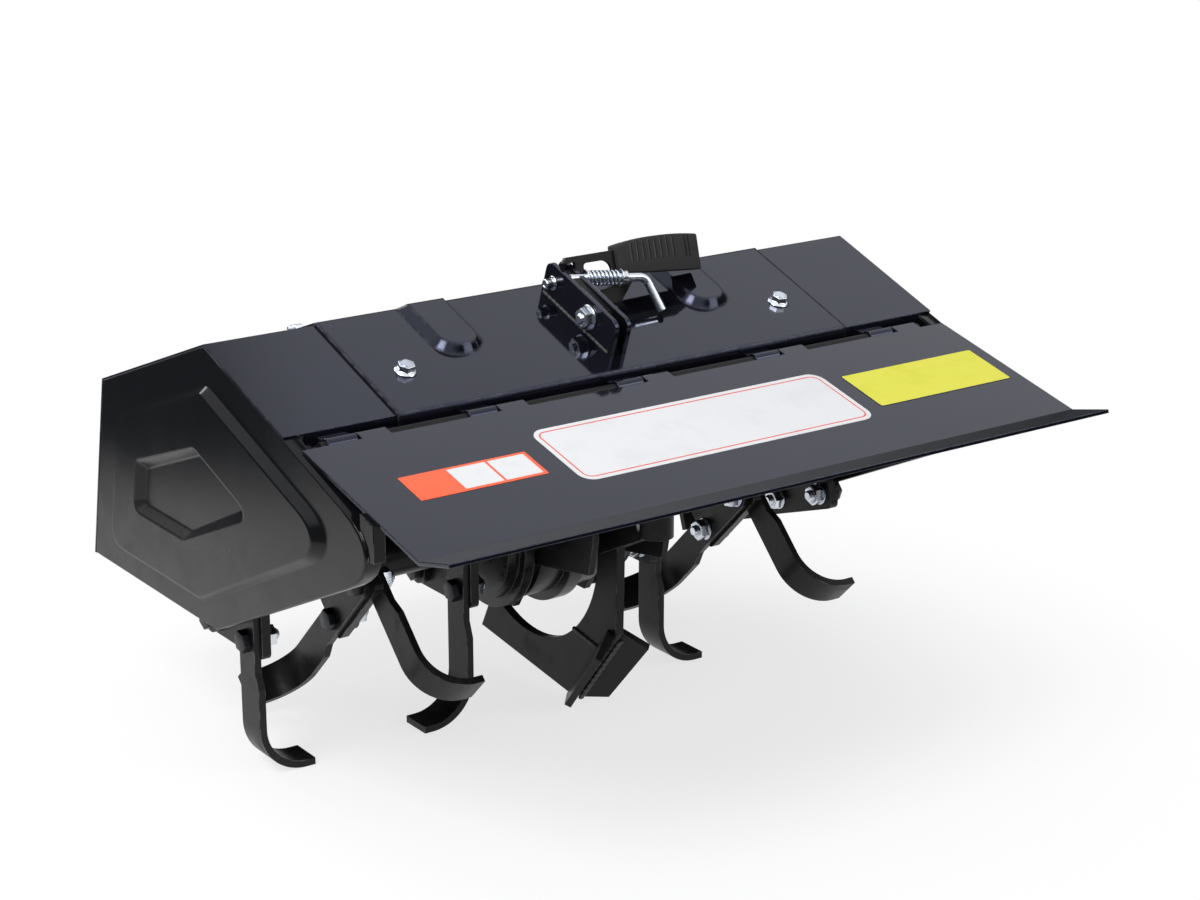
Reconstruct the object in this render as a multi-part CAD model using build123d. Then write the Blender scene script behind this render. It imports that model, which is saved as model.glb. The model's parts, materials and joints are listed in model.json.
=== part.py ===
from build123d import *
import math
import os

os.makedirs("parts", exist_ok=True)

# Rear-mounted rotavator for a two-wheel tractor.  Millimetres.
# Everything is laid out about the rotor axis: x along the rotor (to the right, looking forwards),
# y forwards and z up from the axis.  save() then moves each piece to the machine's own frame,
# whose origin is on the ground, in the middle of the machine's length and width.

# ---------------------------------------------------------------- driving dimensions
# hood
hood_width = 640.0
sheet = 2.0
flap_sheet = 3.0
ridge_y = -19.0
ridge_z = 214.5
rear_slope = 19.4
front_slope = 20.8
hood_rear_y = -142.5
hood_front_y = 171.0
hood_bottom_z = -21.6
front_lean = 12.3
rear_fold = 14.0
centre_width = 444.0
wing_lap = 40.0

# pressed tongues on the centre hood, over the ridge end of the rear slope
tongue_x = 124.0
tongue_width = 45.0
tongue_length = 75.0
tongue_corner = 21.0
tongue_height = 7.0
tongue_taper = 38.0

# side panels
panel_rear_slope = 25.3
panel_corner_radius = 32.0
panel_rim = 13.0
recess_depth = 7.0
recess_taper = 48.0
recess_insets = {"roof_rear": 27.0, "rear_lower": 24.0, "bottom": 18.0, "front": 37.0, "roof_front": 30.0}
recess_corner = 18.0
boss_insets = {"roof_rear": 93.0, "rear_lower": 82.0, "bottom": 75.0, "front": 90.0, "roof_front": 83.0}
boss_corner = 4.0
boss_height = 7.0
boss_taper = 50.0
tab_back = 96.0
tab_width = 18.0
tab_depth = 22.0

# rear flap and its hinge
flap_side_gap = 5.0
flap_slope = 13.5
flap_length = 168.0
flap_lip = 41.0
lip_rise = 13.8
hinge_y = -153.0
hinge_z = 161.4
knuckle_radius = 6.0
rod_radius = 4.0
running = 0.05
knuckle_length = 26.0
knuckle_gap = 0.5
lug_half_height = 3.5
rod_overhang = 5.0
inner_knuckle_x = 140.0
flap_start = 2.5
seat = 0.3

# rotor
ground_reach = 145.0
shaft_radius = 14.0
shaft_half_length = 150.0
tube_radius = 18.0
plate_half = 46.0
plate_thickness = 8.0
plate_corner = 6.0
tine_thickness = 6.0
tine_offset = 31.0
tine_root_width = 25.0
tine_blade_width = 30.0
tine_step_reach = 56.0
tine_bend_radius = 38.0
tine_foot_reach = 46.0
tine_tip_cut = 14.0
bolt_radius = 5.25

# gear case
case_half_width = 34.0
case_radius = 60.0
case_rim_radius = 68.0
case_rim_half = 7.0
case_web_half = 20.0
case_web_reach = 50.0
hub_radius = 56.0
hub_ring_radius = 64.0
hub_inner_x = 44.0
hub_ring_x = 54.0
hub_end_x = 66.0
worm_z = 66.0
worm_radius = 33.0
worm_rear_y = -62.0
worm_front_y = 62.0
neck_radius = 25.0
neck_gap = 3.0
flange_face_y = 232.0
flange_thickness = 11.0
flange_radius = 60.0
flange_bolt_circle = 96.0
flange_bolts = 4
flange_hole_radius = 5.5
input_bore_radius = 18.0
input_bore_end_y = 44.0
input_shaft_inset = 8.0
input_shaft_radius = 9.0
stand_thickness = 6.0
stand_corners = [(-136.0, 0.0), (-56.0, -14.0), (-24.0, -62.0), (24.0, -62.0), (56.0, -10.0), (64.0, 70.0)]
stand_rear_z = 30.0
spigot_radius = 40.0

# shank, skid and share under the gear case
shank_x = -2.0
shank_thickness = 8.0
shank_inner_radius = 101.0
shank_rear = (-129.0, 8.0)
shank_head = [(-98.0, 120.0), (-66.0, 178.0), (-50.0, 205.0), (-50.0, 234.0), (-66.0, 230.0), (-108.0, 212.0),
              (-118.0, 190.0), (-125.0, 150.0)]
shank_toe = (-127.0, -63.0)
weld_inner = (-64.0, -76.0)
weld_outer = (-110.3, -84.0)
skid_nose = (80.0, -119.5)
skid_heel = (-63.5, -139.0)
skid_front = (60.0, -80.0)
share_top = (-124.0, -64.0)
share_bottom_y = -63.0
share_lift = 2.4
share_sweep = 49.0
share_top_step = 20.0
share_top_width = 31.0
share_bottom_width = 24.5
share_thickness = 6.0

# coulter socket behind the shank
socket_y = -178.0
socket_radius = 14.0
socket_bore_radius = 10.0
socket_cap = 6.0
socket_top_z = 138.0
cheek_thickness = 6.0
cheek_front = (-112.0, 6.0)
cheek_rear_z = 39.0

# latch on the rear slope of the hood
ear_thickness = 4.0
ear_front_y = -26.0
ear_rear_y = -124.0
ear_height = 29.0
ear_corner = 8.0
slot_side_gap = 1.5
upper_pin = (-43.0, 223.0)
upper_pin_radius = 4.0
lower_pin = (-95.0, 205.0)
lower_pin_radius = 6.0
lever_lean = 15.0
lever_thickness = 4.0
lever_top_z = 244.0
lever_y = -47.0
lever_left_x = -5.0
lever_step = 5.0
lever_corner = 4.0
lever_leg_x = 7.0
lever_right_x = 66.0
lever_foot_x = 47.0
lever_height = 44.0
lever_cut = 20.0
tang_right_x = 120.0
tang_low = -19.0
tang_high = -5.0
window_left_x = 15.0
window_right_x = 43.0
window_low = -31.0
window_high = -7.0
window_left_corner = 3.0
window_right_corner = 9.0
grip_left_x = 47.0
grip_right_x = 131.0
grip_left = (-20.5, 3.5)
grip_right = (-28.0, 2.5)
grip_bow = 6.5
grip_corner = 4.0
grip_thickness = 14.0
grip_collar = 10.0
grip_end = 14.0
grip_ribs = 9
rib_height = 1.2
spring_start = 15.0
spring_end = 46.0
spring_coil_radius = 5.6
spring_wire_radius = 1.0
spring_turns = 8
rod_wire_radius = 3.75
rod_root = (-5.0, -60.0, 229.5)
rod_elbow = (64.0, -71.0, 223.5)
rod_tip = (70.0, -87.0, 197.0)
rod_bend_radius = 9.0

# ---------------------------------------------------------------- layout of the rotor
inner_plate_x = 93.0
middle_plate_x = 195.0
outer_plate_x = 290.0
# one row per flange plate: side of the machine, distance of the plate from the middle,
# turn of the square plate, and the tines on it.  Each entry of tines gives the face of the
# plate they lie on ("outer" is away from the gear case), the angle at which the first tine of
# the pair lies beside the axis, and whether its foot turns away from the gear case or to it.
PLATES = [
    {"name": "left_outer", "side": -1, "x": outer_plate_x, "turn": 0.0, "tines": [("outer", 180.0, "to")]},
    {"name": "left_middle", "side": -1, "x": middle_plate_x, "turn": 45.0,
     "tines": [("outer", 225.0, "away"), ("inner", 135.0, "to")]},
    {"name": "left_inner", "side": -1, "x": inner_plate_x, "turn": 0.0, "tines": [("outer", 180.0, "away")]},
    {"name": "right_inner", "side": 1, "x": inner_plate_x, "turn": 0.0, "tines": [("outer", 180.0, "away")]},
    {"name": "right_middle", "side": 1, "x": middle_plate_x, "turn": 45.0,
     "tines": [("inner", 225.0, "to"), ("outer", 135.0, "away")]},
    {"name": "right_outer", "side": 1, "x": outer_plate_x, "turn": -19.3, "tines": [("outer", 250.7, "to")]},
]


# ---------------------------------------------------------------- helpers
def unit(angle):
    """Unit vector in the (y, z) plane at an angle from +y towards +z."""
    return (math.cos(math.radians(angle)), math.sin(math.radians(angle)))


def along(point, angle, distance):
    """The point at a distance from another, in the direction of the angle."""
    direction = unit(angle)
    return (point[0] + direction[0] * distance, point[1] + direction[1] * distance)


def meet(p, p_angle, q, q_angle):
    """Where the line through p meets the line through q."""
    a = unit(p_angle)
    b = unit(q_angle)
    cross = a[0] * b[1] - a[1] * b[0]
    t = ((q[0] - p[0]) * b[1] - (q[1] - p[1]) * b[0]) / cross
    return (p[0] + a[0] * t, p[1] + a[1] * t)


def heading(p, q):
    """Angle of the direction from p to q."""
    return math.degrees(math.atan2(q[1] - p[1], q[0] - p[0]))


def beside(points, distance):
    """The open line of points moved to its left by a distance, with mitred corners."""
    headings = [heading(p, q) for p, q in zip(points, points[1:])]
    moved = [along(points[0], headings[0] + 90, distance)]
    for index in range(1, len(points) - 1):
        before = along(points[index], headings[index - 1] + 90, distance)
        after = along(points[index], headings[index] + 90, distance)
        moved.append(meet(before, headings[index - 1], after, headings[index]))
    moved.append(along(points[-1], headings[-1] + 90, distance))
    return moved


def inset(points, distances):
    """A closed outline, listed counter-clockwise, with each edge moved inwards by its distance."""
    count = len(points)
    edges = []
    for index in range(count):
        angle = heading(points[index], points[(index + 1) % count])
        edges.append((along(points[index], angle + 90, distances[index]), angle))
    return [meet(*edges[index - 1], *edges[index]) for index in range(count)]


def rounded(points, radii):
    """A face drawn in (y, z) with a radius at each corner, 0 for a sharp one."""
    face = Polygon(*points, align=None)
    for point, radius in zip(points, radii):
        if radius:
            corner = face.vertices().sort_by_distance(Vector(point[0], point[1], 0))[0]
            face = fillet(corner, radius)
    return face


def between(face, x_from, x_to):
    """A face drawn in (y, z) as a slab from one x to a larger one."""
    return extrude(Plane.YZ.offset(x_from) * face, amount=x_to - x_from, dir=(1, 0, 0))


def slab(points, x_from, x_to):
    return between(Polygon(*points, align=None), x_from, x_to)


def folded(outer, thickness, x_from, x_to):
    """A folded sheet: its outer line is given from rear to front, its thickness lies inside."""
    return slab(list(outer) + list(reversed(beside(outer, -thickness))), x_from, x_to)


def bar(radius, x_from, x_to, centre=(0.0, 0.0)):
    """A round bar along x."""
    return extrude(Plane.YZ.offset(x_from) * Pos(*centre) * Circle(radius), amount=x_to - x_from)


def upright(radius, y, z_from, z_to, x=0.0):
    """A round bar along z."""
    return extrude(Plane.XY.offset(z_from) * Pos(x, y) * Circle(radius), amount=z_to - z_from)


def forward_bar(radius, y_from, y_to, z, x=0.0):
    """A round bar along y."""
    return Pos(x, (y_from + y_to) / 2, z) * Rot(90, 0, 0) * Cylinder(radius, y_to - y_from)


def block(x_from, x_to, y_from, y_to, z_from, z_to):
    size = (x_to - x_from, y_to - y_from, z_to - z_from)
    middle = ((x_from + x_to) / 2, (y_from + y_to) / 2, (z_from + z_to) / 2)
    return Pos(*middle) * Box(*size)


def mirrored(shape):
    return mirror(shape, about=Plane.YZ)


def together(pieces):
    """Like pieces of one body, kept as separate solids of one shape."""
    return Part() + list(pieces)


# ---------------------------------------------------------------- lines that the pieces share
ridge = (ridge_y, ridge_z)
rear_edge = meet(ridge, 180 + rear_slope, (hood_rear_y, 0), 90)
front_top = meet(ridge, -front_slope, (hood_front_y, 0), 90)
front_bottom = meet(front_top, -90 + front_lean, (0, hood_bottom_z), 0)
panel_bottom = (ridge_y, hood_bottom_z)
panel_rear = meet(ridge, 180 + rear_slope, panel_bottom, 180 - panel_rear_slope)
hood_fold = (hood_rear_y, rear_edge[1] - rear_fold)
wing_line = [rear_edge, ridge, front_top, front_bottom]
hood_line = [hood_fold] + wing_line
hood_skin = beside(hood_line, sheet)

panel_sides = ["roof_rear", "rear_lower", "bottom", "front", "roof_front"]
panel_corners = [ridge, panel_rear, panel_bottom, front_bottom, front_top]

hinge = (hinge_y, hinge_z)
outer_knuckle_x = (centre_width / 2 + hood_width / 2 - panel_rim) / 2
knuckle_x = [-outer_knuckle_x, -inner_knuckle_x, 0.0, inner_knuckle_x, outer_knuckle_x]
flap_half_width = hood_width / 2 - flap_side_gap
flap_hinge_top = along(hinge, 90 + flap_slope, knuckle_radius)
flap_front = along(flap_hinge_top, 180 + flap_slope, knuckle_radius + flap_start)
flap_fold = along(flap_hinge_top, 180 + flap_slope, knuckle_radius + flap_length)
lip_edge = along(flap_fold, 180 - lip_rise, flap_lip)

shank_left = shank_x - shank_thickness / 2
shank_right = shank_x + shank_thickness / 2
ear_left = shank_left - ear_thickness
ear_right = shank_right + ear_thickness

# the origin is on the ground, halfway between the flap's lip and the input flange's face
middle_y = (flange_face_y + lip_edge[0]) / 2
to_frame = Pos(0, -middle_y, ground_reach)


def save(name, shape):
    export_step(to_frame * shape, f"parts/{name}.step")


def roof_z(y, lift=0.0):
    """Height of the wing's rear slope at y, raised square to the slope by a lift."""
    slope = math.radians(rear_slope)
    return ridge_z + (y - ridge_y) * math.tan(slope) + lift / math.cos(slope)


# ---------------------------------------------------------------- hood
def tongue(x):
    """One pressed tongue: a raised pad with sloped sides that runs down the rear slope."""
    normal = (0, -math.sin(math.radians(rear_slope)), math.cos(math.radians(rear_slope)))
    slope = Plane(origin=(x, ridge_y, roof_z(ridge_y, sheet)), x_dir=(1, 0, 0), z_dir=normal)
    pad = Pos(0, -tongue_length / 2) * Rectangle(tongue_width, tongue_length)
    pad = fillet(pad.vertices().group_by(Axis.Y)[0], tongue_corner)
    return extrude(slope * pad, amount=tongue_height, taper=tongue_taper)


def shank_slot():
    """The slot in the hood that the shank passes through."""
    left = shank_left - slot_side_gap
    right = shank_right + slot_side_gap
    return block(left, right, ear_rear_y + 2 * slot_side_gap, lever_y, rear_edge[1] - rear_fold, lever_top_z)


def hood_centre():
    half = centre_width / 2
    skin = slab(hood_skin + list(reversed(hood_line)), -half, half)
    for side in (-1, 1):
        skin += tongue(side * tongue_x)
    return skin - forward_bar(neck_radius + neck_gap, worm_front_y, flange_face_y, worm_z) - shank_slot()


def hood_wing():
    """The left wing of the hood, which lies under the centre hood along its inner edge."""
    left = -hood_width / 2
    right = -centre_width / 2 + wing_lap
    wing = folded(wing_line, sheet, left, right)
    fold = [hood_fold, rear_edge, (rear_edge[0] + sheet, rear_edge[1]), (hood_fold[0] + sheet, hood_fold[1])]
    return wing + slab(fold, left + panel_rim + 1, right)


def press_lap(taper):
    """How far the two faces of a pressed sheet lie apart sideways at a fold, for an even thickness."""
    return sheet * (1 - math.sin(math.radians(taper))) / math.cos(math.radians(taper))


def side_panel():
    """The left end of the hood: a pressed pan with a turned-in rim, a sunk field and a raised boss."""
    outside = -hood_width / 2
    outline_points = inset(panel_corners, [sheet, 0, 0, sheet, sheet])
    outline = rounded(outline_points, [0, panel_corner_radius, 4, 0, 0])
    inner_points = inset(outline_points, [sheet] * 5)
    inner = rounded(inner_points, [0, panel_corner_radius - sheet, 1.5, 0, 0])
    panel = between(outline, outside, outside + panel_rim)
    panel -= between(inner, outside + sheet, outside + panel_rim + 1)
    sunk = rounded(inset(panel_corners, [recess_insets[side] for side in panel_sides]), [recess_corner] * 5)
    raised = rounded(inset(panel_corners, [boss_insets[side] for side in panel_sides]), [boss_corner] * 5)
    behind = offset(sunk, amount=press_lap(recess_taper))
    panel += extrude(Plane.YZ.offset(outside + sheet) * behind, amount=recess_depth, taper=recess_taper)
    panel -= extrude(Plane.YZ.offset(outside) * sunk, amount=recess_depth, taper=recess_taper)
    top = outside + recess_depth - boss_height
    panel += extrude(Plane.YZ.offset(top) * raised, amount=boss_height, taper=-boss_taper)
    under = offset(raised, amount=-press_lap(boss_taper))
    panel -= extrude(Plane.YZ.offset(top + sheet) * under, amount=boss_height, taper=-boss_taper)
    return panel + stop_tab(outside)


def stop_tab(outside):
    """A small tab on the rim of the side panel, which the closed flap rests on."""
    middle = flap_front[0] - tab_back
    slope = math.radians(flap_slope)
    flap_z = flap_hinge_top[1] + (middle - flap_hinge_top[0]) * math.tan(slope)
    under = flap_z - (flap_sheet + seat) / math.cos(slope)
    foot = roof_z(middle) - tab_depth
    half = tab_width / 2
    rise = half * math.tan(slope)
    corners = [(middle - half, foot), (middle + half, foot)]
    corners += [(middle + half, under + rise), (middle - half, under - rise)]
    return slab(corners, outside + sheet, outside + panel_rim - 1)


# ---------------------------------------------------------------- rear flap and hinge
def flap():
    plate = folded([lip_edge, flap_fold, flap_front], flap_sheet, -flap_half_width, flap_half_width)
    for x in knuckle_x:
        start = x + knuckle_gap
        end = x + knuckle_length
        plate += folded([flap_front, flap_hinge_top], flap_sheet, start, end)
        plate += bar(knuckle_radius, start, end, hinge)
    return plate - bar(rod_radius + running, -hood_width, hood_width, hinge)


def hinge_knuckles():
    """The hood's half of the hinge: short tubes, each with a lug on the rear fold of the hood."""
    tubes = []
    for x in knuckle_x:
        start = x - knuckle_length
        end = x - knuckle_gap
        on_centre = abs(x) < outer_knuckle_x
        face_y = hood_rear_y - (sheet if on_centre else 0)
        low = hinge_z - lug_half_height
        high = hinge_z + lug_half_height
        lug = [(hinge_y, low), (face_y, low), (face_y, high), (hinge_y, high)]
        tube = bar(knuckle_radius, start, end, hinge) + slab(lug, start, end)
        tubes.append(tube - bar(rod_radius, start - 1, end + 1, hinge))
    return together(tubes)


def hinge_rod():
    reach = knuckle_x[-1] + knuckle_length + rod_overhang
    return bar(rod_radius, -reach, reach, hinge)


# ---------------------------------------------------------------- rotor
def flange_plate(plate):
    square = Rectangle(2 * plate_half, 2 * plate_half)
    square = fillet(square.vertices(), plate_corner)
    for y in (-tine_offset, tine_offset):
        for z in (-tine_offset, tine_offset):
            square -= Pos(y, z) * Circle(bolt_radius)
    square -= Circle(tube_radius)
    middle = plate["side"] * plate["x"]
    half = plate_thickness / 2
    return between(Rot(0, 0, plate["turn"]) * square, middle - half, middle + half)


def tine_side_view():
    """The bent strip seen along the rotor's edge: its length runs up the page, the foot to the right."""
    half = tine_thickness / 2
    bend_z = -(ground_reach - half - tine_bend_radius)
    centre = (tine_bend_radius, bend_z)
    inner = tine_bend_radius - half
    outer = tine_bend_radius + half
    root = tine_offset + tine_root_width / 2
    edges = [
        Line((half, root), (half, bend_z)),
        CenterArc(centre, inner, 180, 90),
        Line((tine_bend_radius, bend_z - inner), (tine_foot_reach, bend_z - inner)),
        Line((tine_foot_reach, bend_z - inner), (tine_foot_reach, bend_z - outer)),
        Line((tine_foot_reach, bend_z - outer), (tine_bend_radius, bend_z - outer)),
        CenterArc(centre, outer, 180, 90),
        Line((-half, bend_z), (-half, root)),
        Line((-half, root), (half, root)),
    ]
    return make_face(edges)


def tine_front_view():
    """The strip seen along x: a round root end, the shank and the wider blade below the plate."""
    half = tine_root_width / 2
    blade = tine_blade_width - half
    y = -tine_offset
    low = -ground_reach - 1
    corners = [(y - half, tine_offset), (y - half, -tine_step_reach), (y - blade, -tine_step_reach - 14),
               (y - blade, low), (y + half, low), (y + half, tine_offset)]
    outline = Polygon(*corners, align=None) + Pos(y, tine_offset) * Circle(half)
    return outline - Pos(y, tine_offset) * Circle(bolt_radius) - Pos(y, -tine_offset) * Circle(bolt_radius)


def tine(x_face, face_side, foot_side, angle):
    """One tine: it lies on a plate's face at x_face, on the side given, and its foot turns to
    foot_side (+1 or -1 along x).  The angle says where around the axis it lies."""
    side_view = tine_side_view()
    width = 2 * tine_blade_width
    strip = extrude(Plane.XZ.offset(tine_offset - width / 2) * side_view, amount=width)
    strip &= between(tine_front_view(), -20, 80)
    toe = [(tine_foot_reach - tine_tip_cut, -tine_offset + tine_root_width),
           (tine_foot_reach + 1, -tine_offset + tine_root_width),
           (tine_foot_reach + 1, -tine_offset - tine_root_width / 2)]
    strip -= extrude(Plane.XY.offset(-ground_reach - 1) * Polygon(*toe, align=None), amount=40)
    if foot_side < 0:
        strip = mirrored(strip)
    middle = x_face + face_side * tine_thickness / 2
    return Pos(middle, 0, 0) * Rot(angle - 180, 0, 0) * strip


def tines(plate):
    found = []
    for face, angle, foot in plate["tines"]:
        face_side = plate["side"] * (1 if face == "outer" else -1)
        foot_side = plate["side"] * (1 if foot == "away" else -1)
        x_face = plate["side"] * plate["x"] + face_side * plate_thickness / 2
        found.append(tine(x_face, face_side, foot_side, angle))
        found.append(tine(x_face, face_side, foot_side, angle + 180))
    return together(found)


def rotor_tube():
    """The left half of the rotor: a tube that slides on to the output shaft."""
    far = PLATES[0]["x"] + plate_thickness / 2
    return bar(tube_radius, -far, -hub_end_x - 4) - bar(shaft_radius, -far - 1, -hub_end_x)


# ---------------------------------------------------------------- gear case
def gear_case():
    case = bar(case_radius, -case_half_width, case_half_width)
    case += bar(case_rim_radius, -case_rim_half, case_rim_half)
    case += forward_bar(worm_radius, worm_rear_y, worm_front_y, worm_z)
    case += forward_bar(neck_radius, 0, flange_face_y - flange_thickness, worm_z)
    case += block(-case_web_half, case_web_half, -case_web_reach, case_web_reach, 0, worm_z)
    case += bar(spigot_radius, -hub_inner_x, hub_inner_x)
    case -= forward_bar(input_bore_radius, input_bore_end_y, flange_face_y, worm_z)
    return case - bar(shaft_radius + running, -hood_width, hood_width)


def hub():
    """The left bearing hub, with its raised ring."""
    casting = bar(hub_radius, -hub_end_x, -case_half_width - stand_thickness)
    casting += bar(hub_ring_radius, -hub_ring_x, -hub_inner_x)
    casting -= bar(spigot_radius, -hub_inner_x, 0)
    return casting - bar(shaft_radius + running, -hood_width, hood_width)


def input_flange():
    back = flange_face_y - flange_thickness
    flange = forward_bar(flange_radius, back, flange_face_y, worm_z)
    flange -= forward_bar(input_bore_radius, back - 1, flange_face_y + 1, worm_z)
    for number in range(flange_bolts):
        angle = 45 + number * 360 / flange_bolts
        x = flange_bolt_circle / 2 * math.cos(math.radians(angle))
        z = flange_bolt_circle / 2 * math.sin(math.radians(angle))
        flange -= forward_bar(flange_hole_radius, back - 1, flange_face_y + 1, worm_z + z, x)
    return flange


def input_shaft():
    return forward_bar(input_shaft_radius, input_bore_end_y, flange_face_y - input_shaft_inset, worm_z)


def hood_stand():
    """Two cheek plates between the gear case and its hubs, which carry the hood."""
    front_y = stand_corners[-1][0]
    front = (front_y, ridge_z - (front_y - ridge_y) * math.tan(math.radians(front_slope)))
    corners = stand_corners + [front, ridge, (hood_rear_y, roof_z(hood_rear_y)), (hood_rear_y, stand_rear_z)]
    cheek = slab(corners, -case_half_width - stand_thickness, -case_half_width)
    cheek -= bar(spigot_radius, -hub_inner_x, 0)
    return together([cheek, mirrored(cheek)])


# ---------------------------------------------------------------- shank, skid and share
def shank():
    """The curved plate behind the gear case, which hangs from the latch through the hood's slot."""
    inside = -shank_inner_radius / 2
    arc_side = [shank_toe, weld_outer, weld_inner]
    arc_side += [(inside, weld_inner[1]), (inside, 0.0), (-shank_inner_radius, 0.0)]
    corners = arc_side + shank_head + [shank_rear]
    outline = Polygon(*corners, align=None) - Circle(shank_inner_radius)
    outline -= Pos(*upper_pin) * Circle(upper_pin_radius)
    outline -= Pos(*lower_pin) * Circle(lower_pin_radius)
    return between(outline, shank_left, shank_right) - rod_stem()


def skid_runner():
    corners = [weld_inner, weld_outer, skid_heel, skid_nose, skid_front]
    outline = Polygon(*corners, align=None) - Circle(shank_inner_radius)
    return between(outline, shank_left, shank_right)


def share_wing():
    """The right wing of the share: a flat plate welded to the skid's rear edge and swept back."""
    share_bottom = (share_bottom_y, share_lift - ground_reach)
    spine = heading(share_top, share_bottom)
    down = Vector(0, *unit(spine))
    out = Vector(math.cos(math.radians(share_sweep)), -math.sin(math.radians(share_sweep)), 0)
    start = Vector(shank_right, *share_top)
    length = (share_top[1] - share_bottom[1]) / -down.Z
    inner = -2 * share_thickness
    low_step = share_thickness * 0.6
    # each corner by its distance down the spine and out from it
    corners = [(0, inner), (length, inner), (length, 0)]
    corners += [(length - low_step, share_bottom_width), (share_top_step, share_top_width), (0, 0)]
    points = [start + down * a + out * b for a, b in corners]
    face = make_face(Polyline(*points, close=True))
    back = out.cross(down).normalized()
    wing = extrude(face, amount=share_thickness, dir=back)
    return wing - block(-hood_width, shank_right, -hood_width, hood_width, -hood_width, hood_width)


def share():
    right = share_wing()
    left = mirror(right, about=Plane.YZ.offset(shank_x))
    return together([right, left])


def coulter_socket():
    """A round socket on two cheeks, which stand either side of the shank under the hood."""
    corners = [cheek_front, (socket_y, cheek_rear_z), (socket_y, socket_top_z), (hood_rear_y, socket_top_z),
               (hood_rear_y, roof_z(hood_rear_y)), (cheek_front[0], roof_z(cheek_front[0]))]
    body = upright(socket_radius, socket_y, cheek_rear_z, socket_top_z, shank_x)
    body += slab(corners, shank_left - cheek_thickness, shank_left)
    body += slab(corners, shank_right, shank_right + cheek_thickness)
    mouth = cheek_rear_z - socket_radius
    return body - upright(socket_bore_radius, socket_y, mouth, socket_top_z - socket_cap, shank_x)


# ---------------------------------------------------------------- latch
def ear(x_from):
    base_rear = (ear_rear_y, roof_z(ear_rear_y, sheet))
    base_front = (ear_front_y, roof_z(ear_front_y, sheet))
    top_rear = along(base_rear, 90 + rear_slope, ear_height)
    top_front = along(base_front, 90 + rear_slope, ear_height)
    outline = rounded([base_rear, base_front, top_front, top_rear], [0, 0, ear_corner, ear_corner])
    outline -= Pos(*upper_pin) * Circle(upper_pin_radius)
    outline -= Pos(*lower_pin) * Circle(lower_pin_radius)
    return between(outline, x_from, x_from + ear_thickness)


def latch_ears():
    return together([ear(ear_left), ear(shank_right) - rod_stem()])


def latch_pins():
    upper = bar(upper_pin_radius, ear_left - 4, ear_right + 4, upper_pin)
    lower = bar(lower_pin_radius, ear_left - 4, ear_right + 4, lower_pin)
    return together([upper, lower])


def lever_plane():
    lean = math.radians(lever_lean)
    normal = (0, -math.cos(lean), math.sin(lean))
    return Plane(origin=(0, lever_y, lever_top_z), x_dir=(1, 0, 0), z_dir=normal)


def lever_plate():
    """The plate that carries the grip: it leans forwards and stands on the hood beside the ears."""
    corners = [(lever_left_x + lever_corner, 0), (lever_left_x, -lever_corner), (lever_left_x, -lever_step)]
    corners += [(lever_leg_x, -lever_step), (lever_leg_x, -lever_height), (lever_foot_x, -lever_height)]
    corners += [(lever_right_x, lever_cut - lever_height), (lever_right_x, tang_low)]
    corners += [(tang_right_x, tang_low), (tang_right_x, tang_high), (lever_right_x, 0)]
    outline = Polygon(*corners, align=None)
    window = [(window_left_x, window_low), (window_right_x, window_low)]
    window += [(window_right_x, window_high), (window_left_x, window_high)]
    opening = Polygon(*window, align=None)
    opening = fillet(opening.vertices().group_by(Axis.X)[-1], window_right_corner)
    opening = fillet(opening.vertices().group_by(Axis.X)[0], window_left_corner)
    plane = lever_plane().offset(-lever_thickness / 2)
    plate = extrude(plane * (outline - opening), amount=lever_thickness)
    return plate - below_hood()


def below_hood():
    """Everything under the outer face of the centre hood's rear slope."""
    rear = (hood_rear_y, roof_z(hood_rear_y, sheet))
    front = (ridge_y, roof_z(ridge_y, sheet))
    return slab([rear, (hood_rear_y, 0), (ridge_y, 0), front], -centre_width / 2, centre_width / 2)


def lever_grip():
    """The moulded sleeve on the lever's tang: its top is bowed and it deepens to the right."""
    plane = lever_plane().offset(-grip_thickness / 2)
    middle = (grip_left_x + grip_right_x) / 2
    edges = [
        Line((grip_left_x, grip_left[0]), (grip_right_x, grip_right[0])),
        Line((grip_right_x, grip_right[0]), (grip_right_x, grip_right[1])),
        ThreePointArc((grip_right_x, grip_right[1]), (middle, grip_bow), (grip_left_x, grip_left[1])),
        Line((grip_left_x, grip_left[1]), (grip_left_x, grip_left[0])),
    ]
    outline = make_face(edges)
    outline = fillet(outline.vertices(), grip_corner)
    grip = extrude(plane * outline, amount=grip_thickness)
    pitch = (grip_right_x - grip_left_x - grip_collar - grip_end) / grip_ribs
    for number in range(grip_ribs):
        x = grip_left_x + grip_collar + pitch * (number + 0.5)
        rib = outline & (Pos(x, 0) * Rectangle(pitch * 0.5, 4 * grip_thickness))
        grip += extrude(plane.offset(-rib_height) * rib, amount=grip_thickness + 2 * rib_height)
    return grip - lever_plate()


def rod_direction():
    return (Vector(*rod_elbow) - Vector(*rod_root)).normalized()


def rod_stem():
    """The straight end of the locking pin, as far as it lies in the shank and the right ear."""
    start = Plane(origin=rod_root, z_dir=rod_direction())
    return extrude(start * Circle(rod_wire_radius), amount=spring_start)


def lever_spring():
    length = spring_end - spring_start - 2 * spring_wire_radius
    coil = Helix(pitch=length / spring_turns, height=length, radius=spring_coil_radius)
    section = Plane(origin=coil @ 0, z_dir=coil % 0) * Circle(spring_wire_radius)
    start = Vector(*rod_root) + rod_direction() * (spring_start + spring_wire_radius)
    return Plane(origin=start, z_dir=rod_direction()) * sweep(section, path=coil)


def lever_rod():
    """The spring-loaded locking pin, which enters the right ear and ends in a bent handle."""
    path = FilletPolyline(rod_root, rod_elbow, rod_tip, radius=rod_bend_radius)
    section = Plane(origin=path @ 0, z_dir=path % 0) * Circle(rod_wire_radius)
    return sweep(section, path=path)


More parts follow.
